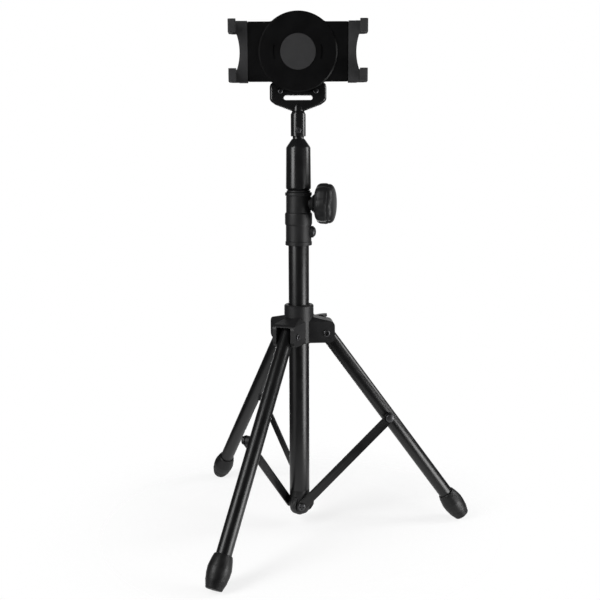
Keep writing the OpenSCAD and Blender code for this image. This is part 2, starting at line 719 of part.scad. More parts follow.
module pivot_screw()
    color([0.4, 0.4, 0.4]) in_holder() {
        translate([0, 0, plate_back + 1.8]) cylinder(r = 2.5, h = spigot_end + 1.4 - plate_back - 1.8);
        dome(4.6, 2.8, spigot_end + 1.2);
    }

// Holder

module house_outline(e) {
    w = half_w - e;
    h = half_h - e;
    r = disc_r - e;
    f = blend_r + e;
    cx = sqrt((r + f) * (r + f) - (h + f) * (h + f));
    t = r / (r + f);
    rounded(-w, -h, w, h, max(house_corner - e, 0.3));
    circle(r = r, $fn = 120);
    for (a = [-1, 1], b = [-1, 1]) scale([a, b]) difference() {
        polygon([[cx, h], [cx, h + f], [cx * t, (h + f) * t], [cx * t - 3, h - 3], [cx, h - 3]]);
        translate([cx, h + f]) circle(r = f);
    }
}

module cradle_front()
    color([0.04, 0.04, 0.042]) in_holder() difference() {
        union() {
            difference() {
                union() {
                    translate([0, 0, house_back]) linear_extrude(height = house_front - house_back - edge)
                        house_outline(0);
                    translate([0, 0, house_back]) linear_extrude(height = house_front - house_back)
                        house_outline(edge);
                    translate([0, 0, house_front - edge]) cylinder(r = disc_r, h = edge + 0.4, $fn = 120);
                    translate([0, 0, house_front + 0.4])
                        cylinder(r1 = disc_r, r2 = disc_r - 1.8, h = 1.6, $fn = 120);
                }
                translate([0, 0, house_back - 1]) linear_extrude(height = house_in - house_back + 1)
                    house_outline(skin);
            }
            each_corner() {
                translate([screw_x, screw_y, house_back]) cylinder(r = 3, h = house_in - house_back + 0.2);
                translate([rail_end + 4, rail_out + gap, rail_back])
                    cube([half_w - skin - rail_end - 3.8, guide_t, house_in - rail_back + 0.2]);
                translate([post_x, 0, rail_back]) cylinder(r = post_r, h = house_in - rail_back + 0.2);
            }
        }
        each_corner() {
            translate([half_w - 6, rail_in - gap, rail_back - gap])
                cube([12, rail_out - rail_in + 2 * gap, rail_t + 2 * gap]);
            translate([screw_x, screw_y, house_back - 1]) cylinder(r = cover_screw_r + fix, h = 8);
        }
        translate([0, 0, disc_front - pad_sink]) cylinder(r = pad_r + fix, h = 10);
        intersection() {
            difference() {
                translate([0, 0, disc_front - 1]) cylinder(r = groove_out, h = 10);
                translate([0, 0, disc_front - 2]) cylinder(r = groove_in, h = 12);
            }
            translate([-disc_r, -groove_half, disc_front - 3]) cube([2 * disc_r, 2 * groove_half, 20]);
        }
    }

module cradle_back()
    color([0.05, 0.05, 0.05]) in_holder() difference() {
        translate([0, 0, cover_back]) linear_extrude(height = cover_t) house_outline(0);
        translate([0, 0, cover_back - 1]) cylinder(r = spigot_r + run, h = 10);
        each_corner() translate([screw_x, screw_y, cover_back - 1]) {
            cylinder(r = cover_screw_r + fix, h = 10);
            cylinder(r = cover_head_r + fix, h = 2.4);
        }
    }

module cover_screws()
    color([0.35, 0.35, 0.35]) in_holder() each_corner() translate([screw_x, screw_y, cover_back + 0.2]) {
        cylinder(r = cover_head_r, h = 1.2);
        cylinder(r = cover_screw_r, h = 8);
    }

module centre_pad()
    color([0.2, 0.2, 0.2]) in_holder() translate([0, 0, disc_front - pad_sink])
        lathe([[0, 0], [pad_r, 0], [pad_r, pad_sink + 0.4], [pad_r - 0.5, pad_sink + 0.8],
            [0, pad_sink + 0.8]]);

// one side's spring, drawn as a single turned wire
module spring(side)
    color([0.7, 0.7, 0.7]) {
        x0 = post_x + post_r + spring_wire + 0.2;
        x1 = cross_x - spring_wire - 0.2;
        turns = 8;
        per = 8;
        n = turns * per;
        rings = [for (i = [0 : n]) let(a = 360 * i / per, c = [x0 + (x1 - x0) * i / n,
            spring_r * cos(a), spring_r * sin(a)]) for (j = [0 : 4]) let(b = 72 * j)
            [side * (c[0] + spring_wire * sin(b)), c[1] + spring_wire * cos(b) * cos(a),
                c[2] + spring_wire * cos(b) * sin(a)]];
        quads = [for (i = [0 : n - 1], j = [0 : 4]) let(k = (j + 1) % 5)
            [[i * 5 + j, i * 5 + k, i * 5 + 5 + k], [i * 5 + j, i * 5 + 5 + k, i * 5 + 5 + j]]];
        caps = [[0, 4, 3, 2, 1], [n * 5, n * 5 + 1, n * 5 + 2, n * 5 + 3, n * 5 + 4]];
        sides = [for (q = quads, t = q) t];
        faces = concat(sides, caps);
        flip = [for (f = faces) [for (i = [len(f) - 1 : -1 : 0]) f[i]]];
        in_holder() translate([0, 0, spring_f])
            polyhedron(points = rings, faces = side > 0 ? faces : flip);
    }

module jaw(side)
    color([0.13, 0.13, 0.135]) in_holder() scale([side, 1, 1]) {
        difference() {
            jaw_plate();
            translate([jaw_waist + jaw_cut_r, 0, jaw_back - 1])
                cylinder(r = jaw_cut_r, h = 20, $fn = 120);
            each_end() translate([jaw_waist + 1, jaw_half_h - prong_height, jaw_back - 1])
                cube([20, prong_height + 1, slab_back - jaw_back + 1]);
        }
        each_end() {
            prong();
            translate([rail_end, rail_in, rail_back])
                cube([jaw_in - rail_end + 2, rail_out - rail_in, rail_t]);
        }
        translate([cross_x, -rail_in - 1, rail_back]) cube([cross_w, 2 * rail_in + 2, rail_t]);
    }

module jaw_plate() {
    translate([0, 0, jaw_back]) linear_extrude(height = jaw_face - jaw_back - 0.8)
        rounded(jaw_in, -jaw_half_h, jaw_waist + 6, jaw_half_h, jaw_corner);
    translate([0, 0, jaw_face - 0.9]) linear_extrude(height = 0.9)
        rounded(jaw_in, -jaw_half_h + 0.6, jaw_waist + 6, jaw_half_h - 0.6, jaw_corner);
}

// one hooked prong, drawn from its end
module prong()
    translate([0, jaw_half_h, 0]) rotate([90, 0, 0]) linear_extrude(height = prong_height)
        polygon([[jaw_waist - 1, slab_back], [jaw_out - 4, slab_back], [jaw_out, slab_back + 4],
            [jaw_out, lip_out - 2], [jaw_out - 2, lip_out], [jaw_out - lip_width + 1, lip_out],
            [jaw_out - lip_width, lip_out - 1], [jaw_out - lip_width, lip_in + 0.6],
            [jaw_out - lip_width + 0.6, lip_in], [jaw_out - prong_wall - 1.6, lip_in],
            [jaw_out - prong_wall, lip_in - 1.6], [jaw_out - prong_wall, jaw_face + 1.6],
            [jaw_out - prong_wall - 1.6, jaw_face], [jaw_waist - 1, jaw_face]]);

module jaw_pads(side)
    color([0.1, 0.1, 0.1]) in_holder() scale([side, 1, 1]) each_end()
        translate([jaw_out - prong_wall - jaw_pad_t, jaw_half_h - prong_height + 1, jaw_face + 2])
            cube([jaw_pad_t, prong_height - 2, lip_in - jaw_face - 4]);

lower_tube();
base_plug();
base_screw();
base_rivets();
collar();
collar_bush();
collar_screw();
clamp_shoe();
clamp_knob();
clamp_stud();
brace(0);  // brace_1
brace(1);  // brace_2
brace(2);  // brace_3
leg_tube(0);  // leg_tube_1
leg_plug(0);  // leg_plug_1
foot(0);  // foot_1
brace_bush(0);  // brace_bush_1
brace_rivet(0);  // brace_rivet_1
leg_tube(1);  // leg_tube_2
leg_plug(1);  // leg_plug_2
foot(1);  // foot_2
brace_bush(1);  // brace_bush_2
brace_rivet(1);  // brace_rivet_2
leg_tube(2);  // leg_tube_3
leg_plug(2);  // leg_plug_3
foot(2);  // foot_3
brace_bush(2);  // brace_bush_3
brace_rivet(2);  // brace_rivet_3
hub();
hub_pins();
wing_screw();
middle_tube();
middle_guide();
clutch_core();
collet();
twist_grip();
rod_tube();
rod_guide();
rod_cap();
swivel_sleeve();
set_screw();
yoke();
tilt_pin();
ear_screws();
swivel_base();
pivot_screw();
pivot_washer();
cradle_front();
cradle_back();
cover_screws();
centre_pad();
spring(-1);  // spring_left
spring(1);  // spring_right
jaw(-1);  // jaw_left
jaw_pads(-1);  // jaw_pads_left
jaw(1);  // jaw_right
jaw_pads(1);  // jaw_pads_right
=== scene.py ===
"""Looks of a tablet floor stand: a folding tripod, a two stage mast and a sprung tablet holder.

The packed solids are the frame. Each part that shows is rebuilt here with rounded edges and a
procedural finish, and rides on the body that its solid belongs to.
"""

import json
import math

import bmesh
import bpy
from mathutils import Matrix, Vector


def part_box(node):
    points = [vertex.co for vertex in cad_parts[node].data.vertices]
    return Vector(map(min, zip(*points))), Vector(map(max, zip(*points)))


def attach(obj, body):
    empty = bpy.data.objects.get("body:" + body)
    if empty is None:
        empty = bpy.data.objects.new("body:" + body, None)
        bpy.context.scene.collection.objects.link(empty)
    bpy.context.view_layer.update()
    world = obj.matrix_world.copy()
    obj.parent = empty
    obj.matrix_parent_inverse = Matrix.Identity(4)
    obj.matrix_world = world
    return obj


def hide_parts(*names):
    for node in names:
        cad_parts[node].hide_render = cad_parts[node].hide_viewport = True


bl_info = {
    "name": "Tablet Floor Stand",
    "version": (1, 0, 0),
    "blender": (4, 5, 0),
    "location": "View3D > Sidebar > Stand",
    "description": "Dresses the packed solids of a tablet floor stand and sets up its studio",
    "category": "Object",
}

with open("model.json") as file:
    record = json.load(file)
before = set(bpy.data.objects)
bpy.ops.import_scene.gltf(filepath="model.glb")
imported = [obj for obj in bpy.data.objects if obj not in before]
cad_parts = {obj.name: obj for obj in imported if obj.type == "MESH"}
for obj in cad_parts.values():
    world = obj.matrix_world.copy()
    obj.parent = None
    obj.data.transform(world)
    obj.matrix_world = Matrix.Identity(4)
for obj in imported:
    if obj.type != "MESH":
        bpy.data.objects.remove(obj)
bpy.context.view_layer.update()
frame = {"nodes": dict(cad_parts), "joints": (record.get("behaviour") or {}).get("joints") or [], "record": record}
NODES = frame["nodes"]
JOINTS = {joint["name"]: joint for joint in frame["joints"]}
BODIES = frame["record"]["behaviour"]["bodies"]
BODY_OF = {node: body for body, group in BODIES.items() for node in group}
MM = 0.001
QUARTER = math.pi / 2
LEGS = (1, 2, 3)

# Half the height of the holder's long plate
PLATE_HALF = 37.5 * MM

# The most of an edge that one rounded corner may take up
CORNER_SHARE = 0.48


# Places read from the frame


def joint_at(name):
    """Where a joint sits, in metres."""
    return Vector(JOINTS[name]["pos_m"])


PIVOT = joint_at("hub_lift")
JOIN = joint_at("leg_1_turn")
BRACE_FOOT = joint_at("leg_fold")
LEG_TURN = math.atan2(PIVOT.y, PIVOT.x)
PIVOT_R = math.hypot(PIVOT.x, PIVOT.y)
CLOCKWISE = Vector((math.sin(LEG_TURN), -math.cos(LEG_TURN), 0))
OUT = Vector((math.cos(LEG_TURN), math.sin(LEG_TURN), 0))
STRIP_OFF = JOIN.dot(CLOCKWISE)
JOIN_R = JOIN.dot(OUT)
BRACE_FOOT_R = BRACE_FOOT.dot(OUT)
LEG_LEAN = math.atan2(JOIN_R - PIVOT_R, PIVOT.z - JOIN.z)
BRACE_ON_LEG = math.hypot(JOIN_R - PIVOT_R, PIVOT.z - JOIN.z)
BRACE_LEAN = math.atan2(JOIN_R - BRACE_FOOT_R, JOIN.z - BRACE_FOOT.z)
BRACE_LENGTH = math.hypot(JOIN_R - BRACE_FOOT_R, JOIN.z - BRACE_FOOT.z)
TILT_Z = joint_at("tilt").z
HOLDER_Z = joint_at("holder_turn").z


def turn(angle, axis):
    """A rotation matrix about one axis."""
    return Matrix.Rotation(angle, 4, axis)


def shift(x, y, z):
    """A translation matrix."""
    return Matrix.Translation((x, y, z))


# A flat outline stood up to face the viewer, and the same on the holder's turning axis
UPRIGHT = turn(QUARTER, "X")
ON_HOLDER = shift(0, 0, HOLDER_Z) @ UPRIGHT


def leg_spin(number):
    """The turn about the mast that points +X along one leg."""
    return turn(LEG_TURN + math.radians(120 * (number - 1)), "Z")


def leg_place(number):
    """The frame of one leg: origin on its pivot, +Z down the leg."""
    return leg_spin(number) @ shift(PIVOT_R, 0, PIVOT.z) @ turn(math.pi - LEG_LEAN, "Y")


def brace_place(number):
    """The frame of one brace: origin on its lower pivot, +Z up the strip."""
    low = shift(BRACE_FOOT_R, -STRIP_OFF, BRACE_FOOT.z)
    return leg_spin(number) @ low @ turn(BRACE_LEAN, "Y")


def outward(name):
    """A frame on a screw's joint whose +Z points away from the mast."""
    axis = Vector(JOINTS[name]["axis"]).normalized()
    bearing = turn(math.atan2(axis.y, axis.x), "Z")
    return shift(0, 0, joint_at(name).z) @ bearing @ turn(QUARTER, "Y")


# Sizes and colours that a user would change


def length(name, about, value):
    """A length in metres, with its label and description."""
    return bpy.props.FloatProperty(
        name=name, description=about, default=value, unit="LENGTH", precision=4
    )


def whole(name, about, value, least):
    """A whole number, with its label and description."""
    return bpy.props.IntProperty(name=name, description=about, default=value, min=least)


def power(name, about, value):
    """A lamp's power in watts, with its label and description."""
    return bpy.props.FloatProperty(name=name, description=about, default=value, unit="POWER")


def tint(name, about, value):
    """A colour, with its label and description."""
    return bpy.props.FloatVectorProperty(
        name=name, description=about, default=value, subtype="COLOR", size=3, min=0, max=1
    )


class TripodSizes(bpy.types.PropertyGroup):
    """Sizes of the legs, feet, braces and hub."""

    leg_od: length("Leg diameter", "Outer diameter of a leg tube", 20 * MM)
    leg_wall: length("Leg wall", "Wall of a leg tube", 1.2 * MM)
    leg_top: length("Leg above pivot", "Length of a leg tube above its pivot", 10 * MM)
    leg_reach: length("Leg reach", "From a leg's pivot to the end of its foot", 337 * MM)
    foot_od: length("Foot diameter", "Widest diameter of a rubber foot", 29.5 * MM)
    foot_end: length("Foot end", "Diameter of a foot's end", 21.5 * MM)
    foot_length: length("Foot length", "Length of a foot along its leg", 42 * MM)
    foot_ribs: whole("Foot ribs", "Fine ribs round a foot's end", 4, 1)
    brace_width: length("Brace width", "Width of a brace strip", 13.4 * MM)
    brace_thick: length("Brace thickness", "Thickness of a brace strip", 2 * MM)
    rivet_head: length("Rivet head", "Diameter of an upper brace rivet's head", 11.6 * MM)
    hub_edge: length("Hub edge", "Rounding of the hub's moulded edges", 1.1 * MM)


class MastSizes(bpy.types.PropertyGroup):
    """Sizes of the mast, its clamp and its twist grip."""

    tube_edge: length("Tube edge", "Rounding of a tube's cut ends", 0.35 * MM)
    collar_edge: length("Collar edge", "Rounding of the collar's moulded edges", 0.6 * MM)
    knob_od: length("Knob diameter", "Diameter of the clamp knob", 54.5 * MM)
    knob_lobes: whole("Knob hollows", "Finger hollows round the knob", 8, 3)
    knob_hollow: length("Hollow depth", "Depth of a finger hollow", 1.6 * MM)
    grip_od: length("Grip diameter", "Diameter of the twist grip", 33.8 * MM)


class HolderSizes(bpy.types.PropertyGroup):
    """Sizes of the bracket and the tablet holder."""

    yoke_edge: length("Bracket edge", "Rounding of the slotted bracket", 4.2 * MM)
    house_edge: length("Housing edge", "Rounding of the housing's edges", 0.5 * MM)
    house_draft: length("Housing draft", "How much the housing narrows to its back", 1.2 * MM)
    jaw_edge: length("Jaw edge", "Rounding of a jaw's edges", 0.7 * MM)
    pad_od: length("Pad diameter", "Diameter of the round pad", 45.2 * MM)


class FinishColours(bpy.types.PropertyGroup):
    """Colours of the finishes."""

    paint: tint("Paint", "Satin paint on the tubes and braces", (0.0036, 0.0036, 0.0039))
    moulded: tint("Moulded plastic", "Matte moulded fittings", (0.0115, 0.0115, 0.0121))
    gloss: tint("Gloss plastic", "Bracket, sleeve and twist grip", (0.0075, 0.0075, 0.0080))
    housing: tint("Housing", "Front of the tablet holder", (0.0028, 0.0028, 0.0030))
    jaw: tint("Jaw plastic", "Sliding jaws", (0.037, 0.037, 0.038))
    pad: tint("Pad", "Round centre pad", (0.035, 0.035, 0.036))
    rubber: tint("Rubber", "Feet and grip pads", (0.007, 0.007, 0.0073))
    dark_steel: tint("Dark steel", "Rivets, screws and ear washers", (0.014, 0.014, 0.015))
    bright_steel: tint("Bright steel", "Inner pins, springs and washers", (0.52, 0.52, 0.53))
    nylon: tint("Nylon", "Inner bushes and guides", (0.50, 0.49, 0.45))


class StudioSizes(bpy.types.PropertyGroup):
    """Camera, lamps and floor."""

    lens: bpy.props.FloatProperty(
        name="Lens", description="Focal length in millimetres", default=53.23, unit="CAMERA"
    )
    eye_height: length("Eye height", "Camera height over the floor", 0.5104)
    eye_distance: length("Eye distance", "Camera distance in front of the mast", 1.2008)
    right_lamp: power("Right lamp", "Low soft box", 14)
    left_lamp: power("Left lamp", "High soft box", 17)
    fill_lamp: power("Fill lamp", "Weak left panel", 1.5)
    top_lamp: power("Top lamp", "High right panel", 7)
    back_lamp: power("Back lamp", "Panel behind", 7)
    floor: tint("Floor", "Colour of the floor", (0.9, 0.9, 0.9))


# Outlines


def in_mm(*points):
    """Points that are written in millimetres, as metres."""
    return [tuple(value * MM for value in point) for point in points]


def fillet(points, closed=False, steps=5):
    """An outline with rounded corners: each point is (a, b) or (a, b, radius)."""
    out = []
    count = len(points)
    for i, point in enumerate(points):
        here = Vector(point[:2])
        radius = point[2] if len(point) > 2 else 0
        if radius <= 0 or (not closed and i in (0, count - 1)):
            out.append(here)
            continue
        back = Vector(points[i - 1][:2]) - here
        ahead = Vector(points[(i + 1) % count][:2]) - here
        reach = radius / math.tan(back.angle(ahead) / 2)
        reach = min(reach, CORNER_SHARE * back.length, CORNER_SHARE * ahead.length)
        start = here + back.normalized() * reach
        end = here + ahead.normalized() * reach
        for step in range(steps + 1):
            t = step / steps
            out.append((1 - t) ** 2 * start + 2 * t * (1 - t) * here + t * t * end)
    return out


def arc(x, y, radius, start, end, steps=12):
    """Points of an arc, its angles in degrees."""
    angles = [math.radians(start + (end - start) * i / steps) for i in range(steps + 1)]
    return [(x + radius * math.cos(a), y + radius * math.sin(a)) for a in angles]


def circle(x, y, radius, sides):
    """Points of a whole circle."""
    return arc(x, y, radius, 0, 360, sides)[:-1]


# Mesh making


def smooth(mesh, angle=32):
    """Smooth shading that keeps corners sharper than an angle in degrees."""
    mesh.shade_smooth()
    mesh.set_sharp_from_angle(angle=math.radians(angle))


def placed(name, data):
    """A new object in the scene."""
    obj = bpy.data.objects.new(name, data)
    bpy.context.scene.collection.objects.link(obj)
    return obj


def as_object(name, bm, place=None):
    """Turns a bmesh into an object at the origin, with its place in its mesh."""
    bmesh.ops.remove_doubles(bm, verts=bm.verts, dist=2e-6)
    bmesh.ops.recalc_face_normals(bm, faces=bm.faces)
    mesh = bpy.data.meshes.new(name)
    bm.to_mesh(mesh)
    bm.free()
    if place is not None:
        mesh.transform(place)
    smooth(mesh)
    return placed(name, mesh)


def bridge(bm, low, high):
    """Faces between two rings, either of which may be a single pole."""
    if len(low) == 1 and len(high) == 1:
        return
    count = max(len(low), len(high))
    for i in range(count):
        j = (i + 1) % count
        near = [low[i % len(low)], low[j % len(low)]]
        far = [high[j % len(high)], high[i % len(high)]]
        bm.faces.new(list(dict.fromkeys(near + far)))


def turned(name, profile, place=None, sides=96, closed=False, wave=None):
    """A piece turned on a lathe from (radius, height) pairs; wave may change a radius."""
    bm = bmesh.new()
    rows = []
    for radius, z in profile:
        if radius < 1e-6:
            rows.append([bm.verts.new((0, 0, z))])
            continue
        row = []
        for i in range(sides):
            a = 2 * math.pi * i / sides
            r = wave(radius, a) if wave else radius
            row.append(bm.verts.new((r * math.cos(a), r * math.sin(a), z)))
        rows.append(row)
    for low, high in zip(rows, rows[1:]):
        bridge(bm, low, high)
    if closed:
        bridge(bm, rows[-1], rows[0])
    return as_object(name, bm, place)


def tube(name, radius, wall, start, end, edge, place=None):
    """An open tube with slightly rounded ends."""
    bore = radius - wall
    loop = [(radius, start, edge), (radius, end, edge), (bore, end, edge), (bore, start, edge)]
    return turned(name, fillet(loop, closed=True, steps=3), place, closed=True)


def settled(obj):
    """The evaluated mesh of an object, with nothing live left on it."""
    graph = bpy.context.evaluated_depsgraph_get()
    mesh = bpy.data.meshes.new_from_object(obj.evaluated_get(graph))
    obj.modifiers.clear()
    return mesh


def plate(name, loops, thick, edge, place):
    """A flat plate cut to its loops, with rounded edges; the first loop is the outside."""
    curve = bpy.data.curves.new(name, "CURVE")
    curve.dimensions = "2D"
    curve.fill_mode = "BOTH"
    curve.extrude = thick / 2 - edge
    curve.bevel_depth = edge
    curve.bevel_resolution = 3
    curve.offset = -edge
    for number, loop in enumerate(loops):
        area = sum(a[0] * b[1] - b[0] * a[1] for a, b in zip(loop, loop[1:] + loop[:1]))
        points = loop if (area > 0) == (number == 0) else loop[::-1]
        spline = curve.splines.new("POLY")
        spline.points.add(len(points) - 1)
        for target, point in zip(spline.points, points):
            target.co = (point[0], point[1], 0, 1)
        spline.use_cyclic_u = True
    shape = placed(name + "_shape", curve)
    mesh = settled(shape)
    bpy.data.objects.remove(shape)
    bpy.data.curves.remove(curve)
    bm = bmesh.new()
    bm.from_mesh(mesh)
    bpy.data.meshes.remove(mesh)
    return as_object(name, bm, place)


def prism(name, loop, thick, place):
    """A straight block with the loop's outline, used as a cutter."""
    bm = bmesh.new()
    rings = [[bm.verts.new((x, y, z)) for x, y in loop] for z in (-thick / 2, thick / 2)]
    for ring in rings:
        bm.faces.new(ring)
    bridge(bm, *rings)
    return as_object(name, bm, place)


def block(name, low, high):
    """A plain box between two corners, used as a cutter."""
    bm = bmesh.new()
    size = [b - a for a, b in zip(low, high)]
    middle = [(a + b) / 2 for a, b in zip(low, high)]
    bmesh.ops.create_cube(bm, size=1, matrix=shift(*middle) @ Matrix.Diagonal((*size, 1)))
    return as_object(name, bm)


def cut(body, tool):
    """Takes the tool's shape out of a body."""
    boolean = body.modifiers.new("cut", "BOOLEAN")
    boolean.operation = "DIFFERENCE"
    boolean.solver = "EXACT"
    boolean.object = tool
    body.data = settled(body)
    bpy.data.objects.remove(tool)
    smooth(body.data)


def bevelled(obj, edge, steps=2, limit=28):
    """Rounds the edges of an object that are sharper than an angle in degrees."""
    bevel = obj.modifiers.new("round", "BEVEL")
    bevel.width = edge
    bevel.segments = steps
    bevel.limit_method = "ANGLE"
    bevel.angle_limit = math.radians(limit)
    bevel.miter_outer = "MITER_ARC"
    obj.modifiers.new("normals", "WEIGHTED_NORMAL").keep_sharp = True
    obj.data = settled(obj)


def softened(node, name, edge, steps=2, draft=None):
    """A copy of a solid with its faces joined and its edges rounded; draft may move its points."""
    bm = bmesh.new()
    bm.from_mesh(NODES[node].data)
    bmesh.ops.remove_doubles(bm, verts=bm.verts, dist=1e-5)
    if draft:
        for vert in bm.verts:
            draft(vert.co)
    flat = math.radians(0.6)
    bmesh.ops.dissolve_limit(bm, angle_limit=flat, verts=bm.verts, edges=bm.edges)
    obj = as_object(name, bm)
    bevelled(obj, edge, steps)
    return obj


def joined(name, *parts):
    """Several objects made one mesh."""
    bm = bmesh.new()
    for part in parts:
        bm.from_mesh(part.data)
        bpy.data.objects.remove(part)
    return as_object(name, bm)


def dressed(obj, finish, body, *nodes):
    """Gives a piece its finish, its body and the solids that it stands for."""
    obj.data.materials.clear()
    obj.data.materials.append(coat(finish))
    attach(obj, body)
    if nodes:
        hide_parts(*nodes)
    return obj


def rounded(node, name, finish, edge, steps=2):
    """A solid's own shape with rounded edges and a finish, on the solid's body."""
    return dressed(softened(node, name, edge, steps), finish, BODY_OF[node], node)


# Node trees


def feed(tree, socket, value):
    """Links a socket to another one, or to each one of a list, or sets its value."""
    if isinstance(value, list):
        for source in value:
            tree.links.new(source, socket)
    elif isinstance(value, bpy.types.NodeSocket):
        tree.links.new(value, socket)
    else:
        socket.default_value = value


def add(tree, kind, links=None, **settings):
    """Adds a node with its settings and inputs, and gives its outputs."""
    node = tree.nodes.new(kind)
    for key, value in settings.items():
        setattr(node, key, value)
    for socket, value in (links or {}).items():
        feed(tree, node.inputs[socket], value)
    return node.outputs


def maths(tree, operation, first, second):
    """The result of one Math node on two numbers or sockets."""
    return add(tree, "ShaderNodeMath", {0: first, 1: second}, operation=operation)[0]


class Tree:
    """A Geometry Nodes tree with named inputs."""

    def __init__(self, name, inputs):
        self.tree = bpy.data.node_groups.new(name, "GeometryNodeTree")
        face = self.tree.interface
        for way in ("OUTPUT", "INPUT"):
            face.new_socket(name="Geometry", in_out=way, socket_type="NodeSocketGeometry")
        self.keys = {}
        for label, kind in inputs.items():
            socket = face.new_socket(name=label, in_out="INPUT", socket_type="NodeSocket" + kind)
            self.keys[label] = socket.identifier
        self.source = self.add("NodeGroupInput")

    def add(self, kind, links=None, **settings):
        """Adds a node to this tree, and gives its outputs."""
        return add(self.tree, kind, links, **settings)

    def end(self, geometry, material):
        """Closes the tree with a real mesh of one material."""
        real = self.add("GeometryNodeRealizeInstances", {0: geometry})
        paint = self.add("GeometryNodeSetMaterial", {0: real[0], "Material": material})
        self.add("NodeGroupOutput", {0: paint[0]})
        return self


def run_tree(obj, tree, values):
    """Runs a tree on an object with its inputs set, and keeps the plain mesh."""
    modifier = obj.modifiers.new("build", "NODES")
    modifier.node_group = tree.tree
    for label, value in values.items():
        modifier[tree.keys[label]] = value
    obj.data = settled(obj)
    smooth(obj.data)


def rib_tree():
    """Fine round ribs stacked along a tapered end, joined to the body that carries them."""
    t = Tree("Foot ribs", {
        "Count": "Int", "Start": "Float", "Pitch": "Float", "First radius": "Float",
        "Last radius": "Float", "Rib size": "Float", "Material": "Material",
    })
    s = t.source
    start = t.add("ShaderNodeCombineXYZ", {"Z": s["Start"]})
    step = t.add("ShaderNodeCombineXYZ", {"Z": s["Pitch"]})
    line = t.add("GeometryNodeMeshLine", {
        "Count": s["Count"], "Start Location": start[0], "Offset": step[0],
    })
    index = t.add("GeometryNodeInputIndex")
    last = maths(t.tree, "SUBTRACT", s["Count"], 1.0)
    share = maths(t.tree, "DIVIDE", index[0], last)
    radius = t.add("ShaderNodeMapRange", {
        "Value": share, "To Min": s["First radius"], "To Max": s["Last radius"],
    })
    size = maths(t.tree, "DIVIDE", s["Rib size"], s["First radius"])
    ring = t.add("GeometryNodeCurvePrimitiveCircle", {"Resolution": 96, "Radius": 1.0})
    wire = t.add("GeometryNodeCurvePrimitiveCircle", {"Resolution": 8, "Radius": size})
    rib = t.add("GeometryNodeCurveToMesh", {"Curve": ring[0], "Profile Curve": wire[0]})
    ribs = t.add("GeometryNodeInstanceOnPoints", {
        "Points": line[0], "Instance": rib[0], "Scale": radius[0],
    })
    both = t.add("GeometryNodeJoinGeometry", {0: [ribs[0], s["Geometry"]]})
    return t.end(both[0], s["Material"])


def head_tree():
    """A copy of one screw or rivet at each point, turned to the point's own direction."""
    t = Tree("Fasteners", {"Head": "Object", "Material": "Material"})
    s = t.source
    head = t.add("GeometryNodeObjectInfo", {"Object": s["Head"]})
    way = t.add("GeometryNodeInputNamedAttribute", {"Name": "way"}, data_type="FLOAT_VECTOR")
    aim = t.add("FunctionNodeAlignRotationToVector", {"Vector": way[0]}, axis="Z")
    points = t.add("GeometryNodeMeshToPoints", {0: s["Geometry"]})
    heads = t.add("GeometryNodeInstanceOnPoints", {
        "Points": points[0], "Instance": head["Geometry"], "Rotation": aim[0],
    })
    return t.end(heads[0], s["Material"])


# Fasteners, their sizes in millimetres, head on +Z and seat at the origin


def fasteners(name, head, spots, finish, body, *nodes):
    """Copies of a head on one body; each spot is (place, direction)."""
    mesh = bpy.data.meshes.new(name)
    mesh.from_pydata([tuple(place) for place, way in spots], [], [])
    ways = mesh.attributes.new("way", "FLOAT_VECTOR", "POINT")
    for item, (place, way) in zip(ways.data, spots):
        item.vector = way
    obj = placed(name, mesh)
    run_tree(obj, head_tree(), {"Head": head, "Material": coat(finish)})
    dressed(obj, finish, body, *nodes)


def rivet(name, head, height, shank, depth):
    """A domed rivet with its shank."""
    rim = 0.3 * height
    dome = height - rim
    profile = [(0, -depth), (shank, -depth), (shank, 0), (head, 0), (head, rim, rim)]
    for degrees in (12, 26, 40, 54, 68, 80):
        a = math.radians(degrees)
        profile.append((head * math.cos(a), rim + dome * math.sin(a)))
    profile.append((0, height))
    return turned(name, fillet(in_mm(*profile)), sides=40)


def rolled_pin(name, head, height, shank, depth, bore):
    """A tubular pin with a rolled head, open in its middle."""
    floor = -0.3 * height
    profile = in_mm(
        (0, -depth), (shank, -depth), (shank, 0), (head, 0, 0.2), (head, 0.6 * height, 0.6),
        (0.8 * head, height, 0.8), (bore, height, 0.8), (bore, floor), (0, floor),
    )
    return turned(name, fillet(profile), sides=48)


def cross_screw(name, head, height, shank, depth, recess):
    """A button screw with a cross recess in its head."""
    body = rivet(name, head, height, shank, depth)
    arm, floor = 0.25 * recess, 0.15 * height
    for x, y in ((recess, arm), (arm, recess)):
        cut(body, block("cut", *in_mm((-x, -y, floor), (x, y, 2 * height))))
    return body


# Finishes

# The share of a noise pattern that is spread over a finish's range
NOISE_LOW = 0.3
NOISE_HIGH = 0.7

